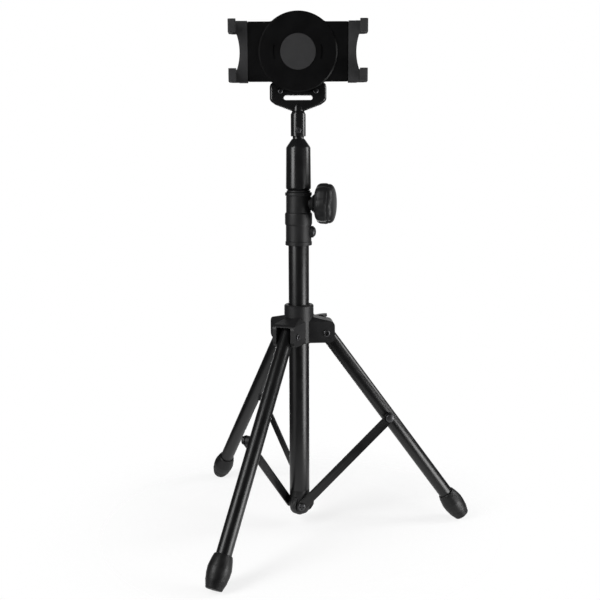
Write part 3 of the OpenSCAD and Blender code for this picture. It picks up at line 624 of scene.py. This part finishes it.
# What each finish has of its own; the rest is in make_finish
FINISHES = {
    # Satin black paint with a faint orange peel
    "satin_paint": dict(
        colour="paint", roughness=0.33, specular=0.5, texture=900, bump=0.006, depth=0.15
    ),
    # Matte moulded plastic with a fine spark-eroded grain
    "moulded_plastic": dict(
        colour="moulded", roughness=0.46, specular=0.36, cloud=90,
        texture=2400, bump=0.22, depth=0.08,
    ),
    # Glossy plastic, smooth but not quite a mirror
    "gloss_plastic": dict(
        colour="gloss", roughness=0.24, specular=0.5, texture=300, bump=0.01, depth=0.2
    ),
    # Deep black housing with a dull sheen
    "housing_plastic": dict(
        colour="housing", roughness=0.42, specular=0.16, texture=1800, bump=0.06, depth=0.05
    ),
    # Charcoal plastic of the sliding jaws
    "jaw_plastic": dict(
        colour="jaw", roughness=0.8, specular=0.08, texture=2200, bump=0.15, depth=0.06
    ),
    # Dense grey pad with a velvety surface
    "pad_foam": dict(
        colour="pad", roughness=0.85, specular=0.15, tone=(0.92, 1.08),
        texture=3200, bump=0.4, depth=0.12,
    ),
    # Satin rubber of the feet with a trace of bloom
    "foot_rubber": dict(
        colour="rubber", roughness=0.43, specular=0.38, tone=(0.75, 1.35), cloud=130, rough=0.08,
        texture=1600, bump=0.15,
    ),
    # Dull rubber of the grip pads on the jaws
    "grip_rubber": dict(colour="rubber", roughness=0.75, specular=0.12, texture=1600, bump=0.2),
    # Blackened steel fasteners
    "dark_steel": dict(
        colour="dark_steel", roughness=0.36, specular=0.5, metallic=1.0, texture=1400, bump=0.08
    ),
    # Plain steel with turned marks
    "bright_steel": dict(
        colour="bright_steel", roughness=0.3, specular=0.5, metallic=1.0, texture=900,
        stretch=(0.2, 1, 1),
    ),
    # Off-white nylon of the hidden bushes
    "natural_nylon": dict(
        colour="nylon", roughness=0.5, specular=0.4, tone=(0.94, 1.04), texture=1200
    ),
}

# Which finish each record slot takes
SLOT_FINISH = {
    "tube_paint": "satin_paint", "brace_paint": "satin_paint", "moulded_black": "moulded_plastic",
    "gloss_black": "gloss_plastic", "holder_black": "housing_plastic", "jaw_grey": "jaw_plastic",
    "pad_grey": "pad_foam", "rubber_black": "foot_rubber", "dark_steel": "dark_steel",
    "bright_steel": "bright_steel", "natural_nylon": "natural_nylon",
}


def shader(name, colour, roughness, specular, metallic=0.0):
    """A principled material with its constants on its own sockets: material, tree and shader."""
    material = bpy.data.materials.new(name)
    material.use_nodes = True
    bsdf = material.node_tree.nodes["Principled BSDF"]
    bsdf.inputs["Base Color"].default_value = (*colour, 1)
    bsdf.inputs["Roughness"].default_value = roughness
    bsdf.inputs["Specular IOR Level"].default_value = specular
    bsdf.inputs["Metallic"].default_value = metallic
    return material, material.node_tree, bsdf


def noise(tree, coords, scale, detail, roughness):
    """A noise pattern in metres."""
    return add(tree, "ShaderNodeTexNoise", {
        "Vector": coords, "Scale": scale, "Detail": detail, "Roughness": roughness,
    })["Fac"]


def spread(tree, pattern, low, high):
    """Maps a noise pattern to a range."""
    return add(tree, "ShaderNodeMapRange", {
        "Value": pattern, "From Min": NOISE_LOW, "From Max": NOISE_HIGH,
        "To Min": low, "To Max": high,
    })["Result"]


def make_finish(name, colour, roughness, specular, metallic=0.0, tone=(0.85, 1.2), cloud=60,
                rough=0.04, texture=1500, bump=0.1, depth=0.1, stretch=(1, 1, 1)):
    """Cloudy tone and roughness over a fine surface texture, whose depth is in millimetres."""
    base = tuple(getattr(bpy.context.scene.stand_colours, colour))
    material, tree, bsdf = shader(name, base, roughness, specular, metallic)
    coords = add(tree, "ShaderNodeTexCoord")["Object"]
    mapped = add(tree, "ShaderNodeMapping", {"Vector": coords, "Scale": stretch})[0]
    clouds = noise(tree, mapped, cloud, detail=4, roughness=0.6)
    fine = noise(tree, mapped, texture, detail=2, roughness=0.5)
    dark, light = [(*[part * share for part in base], 1) for share in tone]
    shade = add(tree, "ShaderNodeMix", {
        "Factor": spread(tree, clouds, 0, 1), "A": dark, "B": light,
    }, data_type="RGBA")
    grain = add(tree, "ShaderNodeBump", {
        "Height": fine, "Strength": bump, "Distance": depth * MM,
    })
    feed(tree, bsdf.inputs["Base Color"], shade["Result"])
    feed(tree, bsdf.inputs["Roughness"], spread(tree, clouds, roughness - rough, roughness + rough))
    feed(tree, bsdf.inputs["Normal"], grain["Normal"])
    return material


def coat(finish):
    """The material of a finish, made when it is first asked for."""
    return bpy.data.materials.get(finish) or make_finish(finish, **FINISHES[finish])


# Operators, one for each piece or group of like pieces


class Undoable:
    """Lets a building step be undone."""

    bl_options = {"REGISTER", "UNDO"}


class STAND_OT_finishes(Undoable, bpy.types.Operator):
    """Give every solid its finish, so that hidden pieces are finished too"""

    bl_idname = "stand.finishes"
    bl_label = "Finish the Solids"

    def execute(self, context):
        for part in frame["record"]["subparts"]:
            materials = NODES[part["node"]].data.materials
            materials.clear()
            materials.append(coat(SLOT_FINISH[part["material_slot"]]))
        return {"FINISHED"}


class STAND_OT_mast(Undoable, bpy.types.Operator):
    """Build the three mast tubes"""

    bl_idname = "stand.mast"
    bl_label = "Mast Tubes"

    def execute(self, context):
        edge = context.scene.stand_mast.tube_edge
        walls = {"lower_tube": 1.5 * MM, "middle_tube": 1.4 * MM, "rod_tube": 1.5 * MM}
        for node, wall in walls.items():
            low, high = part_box(node)
            obj = tube("painted_" + node, high.x, wall, low.z, high.z, edge)
            dressed(obj, "satin_paint", BODY_OF[node], node)
        return {"FINISHED"}


class STAND_OT_legs(Undoable, bpy.types.Operator):
    """Build the leg tubes and their top plugs"""

    bl_idname = "stand.legs"
    bl_label = "Legs"

    def execute(self, context):
        s = context.scene.stand_tripod
        sole, edge = 6.3 * MM, 0.35 * MM
        end = s.leg_reach - sole
        r = s.leg_od / 2 / MM
        top = -s.leg_top / MM
        gap, crown, depth = 0.05, 1.5, 16
        inner = r - s.leg_wall / MM - gap
        cap = in_mm(
            (0, top - crown), (r - 1.2, top - crown, 0.8), (r - 0.2, top, 0.1), (inner, top),
            (inner, depth, 0.6), (0, depth),
        )
        for k in LEGS:
            place = leg_place(k)
            obj = tube(f"painted_leg_{k}", s.leg_od / 2, s.leg_wall, -s.leg_top, end, edge, place)
            dressed(obj, "satin_paint", f"leg_{k}", f"leg_tube_{k}")
            obj = turned(f"top_plug_{k}", fillet(cap), place)
            dressed(obj, "moulded_plastic", f"leg_{k}", f"leg_plug_{k}")
        return {"FINISHED"}


class STAND_OT_feet(Undoable, bpy.types.Operator):
    """Build the ribbed rubber feet, worn flat where they meet the floor"""

    bl_idname = "stand.feet"
    bl_label = "Feet"

    def execute(self, context):
        s = context.scene.stand_tripod
        end, wide, leg = s.foot_end / 2 / MM, s.foot_od / 2 / MM, s.leg_od / 2 / MM
        top = s.foot_length / MM
        waist = wide - 1.45
        bore, floor = leg + 0.05, 6
        half = in_mm(
            (0, 0), (end - 0.4, 0, 1.4), (end + 0.7, 4, 2), (waist, 9.3, 6),
            (wide + 0.1, top - 24, 6), (wide + 0.5, top - 16.5, 4), (wide - 0.3, top - 11.5, 6),
            (leg + 3.2, top - 5.5, 6), (leg + 1.8, top - 0.8, 0.8), (leg + 1.1, top, 0.4),
            (bore, top), (bore, floor), (0, floor),
        )
        ribs = rib_tree()
        for k in LEGS:
            obj = turned(f"rubber_foot_{k}", fillet(half, steps=6))
            run_tree(obj, ribs, {
                "Count": s.foot_ribs, "Start": 1.9 * MM, "Pitch": 2.75 * MM,
                "First radius": (end - 0.1) * MM, "Last radius": waist * MM, "Rib size": 0.36 * MM,
                "Material": coat("foot_rubber"),
            })
            obj.data.transform(leg_place(k) @ shift(0, 0, s.leg_reach) @ turn(math.pi, "X"))
            for vertex in obj.data.vertices:
                vertex.co.z = max(vertex.co.z, 0)
            dressed(obj, "foot_rubber", f"leg_{k}", f"foot_{k}")
        return {"FINISHED"}


class STAND_OT_braces(Undoable, bpy.types.Operator):
    """Build the brace strips and the bushes that they turn on"""

    bl_idname = "stand.braces"
    bl_label = "Braces"

    def execute(self, context):
        s = context.scene.stand_tripod
        half = s.brace_width / 2
        outline = arc(0, 0, half, 180, 360, 20) + arc(0, BRACE_LENGTH, half, 0, 180, 20)
        loops = [outline, circle(0, 0, 3 * MM, 40), circle(0, BRACE_LENGTH, 4.65 * MM, 40)]
        for k in LEGS:
            obj = plate(f"strip_{k}", loops, s.brace_thick, 0.5 * MM, brace_place(k) @ UPRIGHT)
            dressed(obj, "satin_paint", f"brace_{k}", f"brace_{k}")
            rounded(f"brace_bush_{k}", f"bush_{k}", "moulded_plastic", 0.4 * MM)
        return {"FINISHED"}


class STAND_OT_rivets(Undoable, bpy.types.Operator):
    """Set the rivets and pins of the tripod"""

    bl_idname = "stand.rivets"
    bl_label = "Rivets"

    def execute(self, context):
        s = context.scene.stand_tripod
        big = rivet("rivet_head", s.rivet_head / 2 / MM, height=2.6, shank=3, depth=14)
        small = cross_screw("base_head", 5.2, height=2.4, shank=2.9, depth=12, recess=3.4)
        pin = rolled_pin("pin_head", 4.6, height=2, shank=3.5, depth=16, bore=2.6)
        half = s.brace_thick / 2
        bush_seat = -STRIP_OFF - half - 1.2 * MM
        base_seat = -half - 0.5 * MM
        pin_seat = 16 * MM
        lows, pins = [], []
        for k in LEGS:
            side = leg_place(k).to_3x3() @ Vector((0, -1, 0))
            at = leg_place(k) @ Vector((0, bush_seat, BRACE_ON_LEG))
            name, body, node = f"leg_rivet_{k}", f"leg_{k}", f"brace_rivet_{k}"
            fasteners(name, big, [(at, side)], "dark_steel", body, node)
            lows.append((brace_place(k) @ Vector((0, base_seat, 0)), side))
            for sign in (-1, 1):
                pins.append((leg_place(k) @ Vector((0, -sign * pin_seat, 0)), sign * side))
        fasteners("base_rivet_heads", small, lows, "dark_steel", "mast", "base_rivets")
        fasteners("hub_pin_heads", pin, pins, "dark_steel", "hub", "hub_pins")
        for helper in (big, small, pin):
            bpy.data.objects.remove(helper)
        return {"FINISHED"}


class STAND_OT_hub(Undoable, bpy.types.Operator):
    """Round off the sliding hub and its wing screw"""

    bl_idname = "stand.hub"
    bl_label = "Hub"

    def execute(self, context):
        edge = context.scene.stand_tripod.hub_edge
        rounded("hub", "moulded_hub", "moulded_plastic", edge, 3)
        rounded("wing_screw", "lock_wing", "moulded_plastic", 0.9 * MM, 3)
        return {"FINISHED"}


class STAND_OT_base(Undoable, bpy.types.Operator):
    """Build the finned plug and round off the screw under the mast"""

    bl_idname = "stand.base"
    bl_label = "Base Plug"

    def execute(self, context):
        fin = in_mm(
            (2, 20.5, 3), (10, 18.2, 4), (16, 21.5, 5), (20, 28.5, 5), (20.3, 35, 4), (14, 44, 4),
            (2, 44, 3),
        )
        outline = fillet(fin, closed=True, steps=6)
        parts = [softened("base_plug", "bottom_plug", 0.7 * MM)]
        for k in LEGS:
            parts.append(plate(f"fin_{k}", [outline], 5.2 * MM, 1.2 * MM, leg_spin(k) @ UPRIGHT))
        dressed(joined("finned_plug", *parts), "moulded_plastic", "mast", "base_plug")
        rounded("base_screw", "bottom_screw", "dark_steel", 0.2 * MM)
        return {"FINISHED"}


class STAND_OT_clamp(Undoable, bpy.types.Operator):
    """Build the big clamp knob and round off the collar and its screw"""

    bl_idname = "stand.clamp"
    bl_label = "Mast Clamp"

    def execute(self, context):
        s = context.scene.stand_mast
        rounded("collar", "clamp_collar", "moulded_plastic", s.collar_edge)
        rounded("collar_screw", "boss_screw", "dark_steel", 0.25 * MM)
        rim = s.knob_od / 2
        r = rim / MM
        back, front = 22.2, 50.5
        profile = in_mm(
            (0, back), (10, back, 0.6), (11, back + 1, 1), (r - 6.5, back + 2.4, 3),
            (r - 2.2, back + 4.4, 4), (r - 0.4, back + 7.6, 4), (r, back + 11, 4),
            (r, front - 12, 2), (r - 1, front - 9.6, 0.8), (r - 1.5, front - 9, 0.5),
            (r - 0.9, front - 8.2, 0.8), (r - 1.8, front - 5.2, 4), (r - 4.4, front - 2.7, 5),
            (r - 10, front - 1, 7), (r - 18, front - 0.2, 8), (0, front),
        )
        inner, band, sharpness = 0.72, 0.24, 1.6

        def hollows(radius, angle):
            near = max(0.0, min(1.0, (radius / rim - inner) / band))
            dip = (0.5 - 0.5 * math.cos(s.knob_lobes * angle)) ** sharpness
            return radius - s.knob_hollow * near * near * (3 - 2 * near) * dip

        place = outward("clamp_turn")
        obj = turned("lobed_knob", fillet(profile, steps=6), place, sides=192, wave=hollows)
        dressed(obj, "moulded_plastic", "clamp_knob", "clamp_knob")
        return {"FINISHED"}


class STAND_OT_grip(Undoable, bpy.types.Operator):
    """Build the twist grip and round off the core under it"""

    bl_idname = "stand.grip"
    bl_label = "Twist Grip"

    def execute(self, context):
        r = context.scene.stand_mast.grip_od / 2 / MM
        low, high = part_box("twist_grip")
        z0, z1 = low.z / MM, high.z / MM
        cone = z1 - 10
        bore, mouth = 12.8, 7.95
        profile = in_mm(
            (bore, z0), (r - 2.6, z0, 0.5), (r - 0.5, z0 + 1.6, 1.6), (r, z0 + 3.2, 3),
            (r - 0.6, cone - 1.6, 3), (r - 1.6, cone + 0.4, 2), (8.9, z1 - 0.5, 0.5),
            (8.4, z1, 0.4), (mouth, z1), (mouth, z1 - 2), (bore, z1 - 14),
        )
        obj = turned("grip_barrel", fillet(profile, closed=True), closed=True)
        dressed(obj, "gloss_plastic", "twist_grip", "twist_grip")
        rounded("clutch_core", "clutch_sleeve", "moulded_plastic", 0.3 * MM)
        return {"FINISHED"}


class STAND_OT_sleeve(Undoable, bpy.types.Operator):
    """Round off the swivel sleeve and its set screw"""

    bl_idname = "stand.sleeve"
    bl_label = "Swivel Sleeve"

    def execute(self, context):
        rounded("swivel_sleeve", "gloss_sleeve", "gloss_plastic", 0.7 * MM, 3)
        rounded("set_screw", "sleeve_screw", "dark_steel", 0.2 * MM)
        return {"FINISHED"}


class STAND_OT_bracket(Undoable, bpy.types.Operator):
    """Build the slotted bracket that carries the holder, and the washers in its ears"""

    bl_idname = "stand.bracket"
    bl_label = "Slotted Bracket"

    def execute(self, context):
        edge = context.scene.stand_holder.yoke_edge
        low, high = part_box("yoke")
        foot, half, ear_top = low.z / MM, high.x / MM, high.z / MM
        slot = TILT_Z / MM - 13.85
        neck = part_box("swivel_sleeve")[1].z / MM + 0.1
        ear = 19.3
        right = [
            (8, neck), (half - 7.4, slot - 9.4, 9), (half - 1.4, slot - 5, 6),
            (half, slot - 2.4, 6), (half, ear_top, 7.4),
        ]
        left = [(-x, *rest) for x, *rest in reversed(right)]
        outline = fillet(in_mm(*right, *left), closed=True, steps=8)
        body = plate("bracket_body", [outline], high.y - low.y, edge, UPRIGHT)
        slot_end, slot_r, slot_z = 16.1, 2.95, slot - 0.5
        hole = arc(slot_end, slot_z, slot_r, -90, 90) + arc(-slot_end, slot_z, slot_r, 90, 270)
        floor, sky = slot + 7.65, ear_top + 9
        bay = [(-ear, floor), (ear, floor), (ear, sky), (-ear, sky)]
        for name, loop in (("slot_cut", hole), ("bay_cut", bay)):
            cut(body, prism(name, in_mm(*loop), 40 * MM, UPRIGHT))
        bevelled(body, 0.7 * MM, 3, 50)
        profile = in_mm(
            (0, foot), (5, foot), (5, neck), (7.6, neck, 0.4), (7.6, neck + 5, 4),
            (6.2, neck + 9.4, 3), (3.4, neck + 11, 2), (0, neck + 11.2),
        )
        stem = turned("bracket_stem", fillet(profile))
        dressed(joined("slotted_bracket", body, stem), "gloss_plastic", "head", "yoke")
        rim, face = 6.2, 0.2
        ring = in_mm((0, -face), (rim, -face), (rim, face), (0, face))
        for name, side in (("ear_washer_left", -1), ("ear_washer_right", 1)):
            place = shift(side * (ear - 0.25) * MM, 0, TILT_Z) @ turn(QUARTER, "Y")
            washer = turned(name, fillet(ring), place, sides=64)
            dressed(washer, "dark_steel", "head")
        return {"FINISHED"}


class STAND_OT_screws(Undoable, bpy.types.Operator):
    """Set the small screws of the bracket and the holder's back"""

    bl_idname = "stand.screws"
    bl_label = "Screws"

    def execute(self, context):
        ear = cross_screw("ear_head", 3.4, height=1.7, shank=1.5, depth=5, recess=2)
        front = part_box("yoke")[0].y
        x, z = 23.3 * MM, TILT_Z - 5.9 * MM
        spots = [((side * x, front, z), (0, -1, 0)) for side in (-1, 1)]
        fasteners("bracket_screws", ear, spots, "dark_steel", "head", "ear_screws")
        radius, height = 2.6, 0.6
        flat = cross_screw("cover_head", radius, height, shank=1.5, depth=7, recess=1.5)
        low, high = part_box("cover_screws")
        middle = (low.z + high.z) / 2
        dx, dz = high.x - radius * MM, high.z - middle - radius * MM
        back = high.y - height * MM
        corners = [(a, b) for a in (-1, 1) for b in (-1, 1)]
        spots = [((a * dx, back, middle + b * dz), (0, 1, 0)) for a, b in corners]
        fasteners("back_screws", flat, spots, "dark_steel", "cradle", "cover_screws")
        for helper in (ear, flat):
            bpy.data.objects.remove(helper)
        return {"FINISHED"}


class STAND_OT_tilt(Undoable, bpy.types.Operator):
    """Round off the tilting base behind the holder"""

    bl_idname = "stand.tilt"
    bl_label = "Tilt Base"

    def execute(self, context):
        rounded("swivel_base", "tilt_plate", "moulded_plastic", 0.8 * MM)
        return {"FINISHED"}


def house_outline(inset):
    """The holder's outline from the front: a long plate with a round disc in its middle."""
    low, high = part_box("cradle_front")
    w, h, r = high.x - inset, PLATE_HALF - inset, (high.z - low.z) / 2 - inset
    blend = 8 * MM + inset
    corner = max(1.2 * MM - inset, 0.3 * MM)
    x, y = math.sqrt((r + blend) ** 2 - (h + blend) ** 2), h + blend
    meet = math.degrees(math.atan2(y, x))
    quarter = arc(w - corner, h - corner, corner, 0, 90, 6)
    quarter += arc(x, y, blend, 270, 180 + meet, 8)
    quarter += arc(0, 0, r, meet, 90, 24)
    mirror = [(-x, y) for x, y in reversed(quarter)]
    top = quarter + mirror[1:]
    return top + [(-x, -y) for x, y in top]


class STAND_OT_housing(Undoable, bpy.types.Operator):
    """Build the holder's front housing, its raised disc and its back cover"""

    bl_idname = "stand.housing"
    bl_label = "Holder Housing"

    def execute(self, context):
        s = context.scene.stand_holder
        low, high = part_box("cradle_front")
        slope = s.house_draft / ((high.z - low.z) / 2 * (high.y - low.y))

        def draft(point):
            above = point.z - HOLDER_Z
            if abs(above) > PLATE_HALF - 1 * MM:
                point.z -= above * slope * (point.y - low.y)

        obj = softened("cradle_front", "front_housing", s.house_edge, draft=draft)
        dressed(obj, "housing_plastic", "cradle", "cradle_front")
        near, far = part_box("cradle_back")
        loops = [house_outline(s.house_draft + 0.3 * MM), circle(0, 0, 11.08 * MM, 72)]
        place = ON_HOLDER @ shift(0, 0, -(near.y + far.y) / 2)
        obj = plate("back_cover", loops, far.y - near.y, 0.5 * MM, place)
        dressed(obj, "moulded_plastic", "cradle", "cradle_back")
        return {"FINISHED"}


class STAND_OT_pad(Undoable, bpy.types.Operator):
    """Build the bare round pad in the middle of the holder"""

    bl_idname = "stand.pad"
    bl_label = "Centre Pad"

    def execute(self, context):
        r = context.scene.stand_holder.pad_od / 2 / MM
        low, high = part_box("centre_pad")
        back, front = -high.y / MM, -low.y / MM
        profile = in_mm(
            (0, back), (r, back), (r, front - 0.1, 0.7), (r - 1, front, 0.8), (0, front)
        )
        obj = turned("round_pad", fillet(profile), ON_HOLDER)
        dressed(obj, "pad_foam", "cradle", "centre_pad")
        return {"FINISHED"}


class STAND_OT_jaws(Undoable, bpy.types.Operator):
    """Round off the sliding jaws and their grip pads"""

    bl_idname = "stand.jaws"
    bl_label = "Jaws"

    def execute(self, context):
        edge = context.scene.stand_holder.jaw_edge
        for side in ("left", "right"):
            rounded("jaw_" + side, "hooked_jaw_" + side, "jaw_plastic", edge)
            rounded("jaw_pads_" + side, "grip_pads_" + side, "grip_rubber", 0.5 * MM)
        return {"FINISHED"}


# Camera and stage

# The camera's sensor width in millimetres, lens shift, place beside the mast, pitch and roll
CAMERA_SENSOR = 36
CAMERA_SHIFT = (0.0050, 0.01285)
CAMERA_SIDE = -2.64 * MM
CAMERA_PITCH = math.radians(80.602)
CAMERA_ROLL = math.radians(-0.2466)

# The floor is whole up to the first radius and has faded out at the second
FLOOR_WHOLE = 0.14
FLOOR_RADIUS = 0.4

# The floor's own white, its share of what the camera sees, and how much of it a reflection shows
FLOOR_GLOW = 1.3
FLOOR_SHARE = 0.55
FLOOR_MIRRORED = 0.6

# The surroundings' strength as light, and in a reflection that doesn't look behind the stand
ROOM_LIGHT = 0.2
ROOM_MIRRORED = 0.04

# Each lamp's name, the setting that holds its power, its width and height, its bearing in degrees
# from the front, its distance from the mast and its height, with the floor at 0
LAMPS = (
    ("right_softbox", "right_lamp", (0.65, 0.85), 63, 1.25, -0.07),
    ("left_softbox", "left_lamp", (0.6, 1.5), -52, 1.3, 1.15),
    ("left_fill", "fill_lamp", (0.8, 0.8), -56, 1.3, 0.0),
    ("right_top", "top_lamp", (0.5, 0.6), 95, 1.2, 0.86),
    ("back_softbox", "back_lamp", (0.7, 0.6), 180, 1.5, -0.2),
)


class STAND_OT_studio(Undoable, bpy.types.Operator):
    """Set up the camera, the lamps, the floor and the white surroundings"""

    bl_idname = "stand.studio"
    bl_label = "Studio"

    def execute(self, context):
        scene = context.scene
        s = scene.stand_studio
        camera = bpy.data.cameras.new("camera")
        camera.lens = s.lens
        camera.sensor_width = CAMERA_SENSOR
        camera.shift_x, camera.shift_y = CAMERA_SHIFT
        camera.clip_start = 0.05
        scene.camera = placed("camera", camera)
        at = shift(CAMERA_SIDE, -s.eye_distance, s.eye_height)
        scene.camera.matrix_world = at @ turn(CAMERA_PITCH, "X") @ turn(CAMERA_ROLL, "Z")
        for name, setting, size, bearing, distance, height in LAMPS:
            self.lamp(name, getattr(s, setting), size, bearing, distance, height)
        self.surroundings(scene)
        bm = bmesh.new()
        bmesh.ops.create_circle(bm, cap_ends=True, segments=96, radius=FLOOR_RADIUS)
        floor = as_object("floor", bm)
        floor.data.materials.append(self.floor_paint(tuple(s.floor)))
        scene.view_settings.view_transform = "Standard"
        return {"FINISHED"}

    def lamp(self, name, watts, size, bearing, distance, height):
        """A soft box that faces the mast and that the camera doesn't see."""
        data = bpy.data.lights.new(name, "AREA")
        data.shape = "RECTANGLE"
        data.size, data.size_y = size
        data.energy = watts
        a = math.radians(bearing)
        at = Vector((distance * math.sin(a), -distance * math.cos(a), height))
        aim = Vector((0, 0, height)) - at
        obj = placed(name, data)
        obj.matrix_world = shift(*at) @ aim.to_track_quat("-Z", "Y").to_matrix().to_4x4()
        obj.visible_camera = False

    def seen(self, tree, mirrored=1.0):
        """One where the camera looks, and the mirrored share where a reflection or glass looks."""
        path = add(tree, "ShaderNodeLightPath")
        total = path["Is Camera Ray"]
        for label in ("Is Glossy Ray", "Is Transmission Ray"):
            part = maths(tree, "MULTIPLY", path[label], mirrored)
            total = maths(tree, "MAXIMUM", total, part)
        return total

    def surroundings(self, scene):
        """White where the camera looks, and behind the stand in a reflection, with dim light."""
        world = bpy.data.worlds.new("studio")
        scene.world = world
        world.use_nodes = True
        tree = world.node_tree
        coords = add(tree, "ShaderNodeTexCoord")["Generated"]
        way = add(tree, "ShaderNodeSeparateXYZ", {0: coords})
        behind = add(tree, "ShaderNodeMapRange", {
            "Value": way["Y"], "From Min": 0.8, "From Max": 0.95,
            "To Min": ROOM_MIRRORED, "To Max": 1.0,
        })
        camera = add(tree, "ShaderNodeLightPath")["Is Camera Ray"]
        bright = maths(tree, "MAXIMUM", behind["Result"], camera)
        level = add(tree, "ShaderNodeMix", {
            "Factor": self.seen(tree), "A": ROOM_LIGHT, "B": bright,
        })
        back = tree.nodes["Background"]
        back.inputs["Color"].default_value = (1, 1, 1, 1)
        feed(tree, back.inputs["Strength"], level["Result"])

    def floor_paint(self, colour):
        """A pale floor that keeps the shadow near the stand and fades into the white round it."""
        material, tree, bsdf = shader("studio_floor", colour, roughness=0.9, specular=0)
        glow = add(tree, "ShaderNodeEmission", {"Strength": FLOOR_GLOW})
        share = maths(tree, "MULTIPLY", self.seen(tree, FLOOR_MIRRORED), FLOOR_SHARE)
        near = add(tree, "ShaderNodeMixShader", {0: share, 1: bsdf.outputs[0], 2: glow[0]})
        coords = add(tree, "ShaderNodeTexCoord")["Object"]
        away = add(tree, "ShaderNodeVectorMath", {0: coords}, operation="LENGTH")
        fade = add(tree, "ShaderNodeMapRange", {
            "Value": away["Value"], "From Min": FLOOR_WHOLE, "From Max": FLOOR_RADIUS,
        }, interpolation_type="SMOOTHSTEP")
        clear = add(tree, "ShaderNodeBsdfTransparent")
        mix = add(tree, "ShaderNodeMixShader", {0: fade["Result"], 1: near[0], 2: clear[0]})
        feed(tree, tree.nodes["Material Output"].inputs["Surface"], mix[0])
        return material


# The building steps in their order, and the groups of settings by their place on the scene
STEPS = (
    STAND_OT_studio, STAND_OT_finishes, STAND_OT_mast, STAND_OT_legs, STAND_OT_feet,
    STAND_OT_braces, STAND_OT_rivets, STAND_OT_hub, STAND_OT_base, STAND_OT_clamp,
    STAND_OT_grip, STAND_OT_sleeve, STAND_OT_bracket, STAND_OT_screws, STAND_OT_tilt,
    STAND_OT_housing, STAND_OT_pad, STAND_OT_jaws,
)
GROUPS = {
    "stand_tripod": TripodSizes, "stand_mast": MastSizes, "stand_holder": HolderSizes,
    "stand_colours": FinishColours, "stand_studio": StudioSizes,
}


class STAND_PT_panel(bpy.types.Panel):
    """The stand's sizes, colours and building steps"""

    bl_idname = "STAND_PT_panel"
    bl_label = "Tablet Floor Stand"
    bl_space_type = "VIEW_3D"
    bl_region_type = "UI"
    bl_category = "Stand"

    def draw(self, context):
        for key, group in GROUPS.items():
            box = self.layout.box()
            box.label(text=group.__doc__)
            for name in group.__annotations__:
                box.prop(getattr(context.scene, key), name)
        for step in STEPS:
            self.layout.operator(step.bl_idname)


def register():
    """Registers the classes and the scene's sizes."""
    for group in GROUPS.values():
        bpy.utils.register_class(group)
    for key, group in GROUPS.items():
        setattr(bpy.types.Scene, key, bpy.props.PointerProperty(type=group))
    for step in STEPS:
        bpy.utils.register_class(step)
    bpy.utils.register_class(STAND_PT_panel)


def unregister():
    """Takes everything out again."""
    bpy.utils.unregister_class(STAND_PT_panel)
    for step in reversed(STEPS):
        bpy.utils.unregister_class(step)
    for key in GROUPS:
        delattr(bpy.types.Scene, key)
    for group in GROUPS.values():
        bpy.utils.unregister_class(group)


def main():
    """Builds the stand step by step."""
    register()
    for step in STEPS:
        name = step.bl_idname.split(".")[1]
        getattr(bpy.ops.stand, name)()


if __name__ == "__main__":
    main()
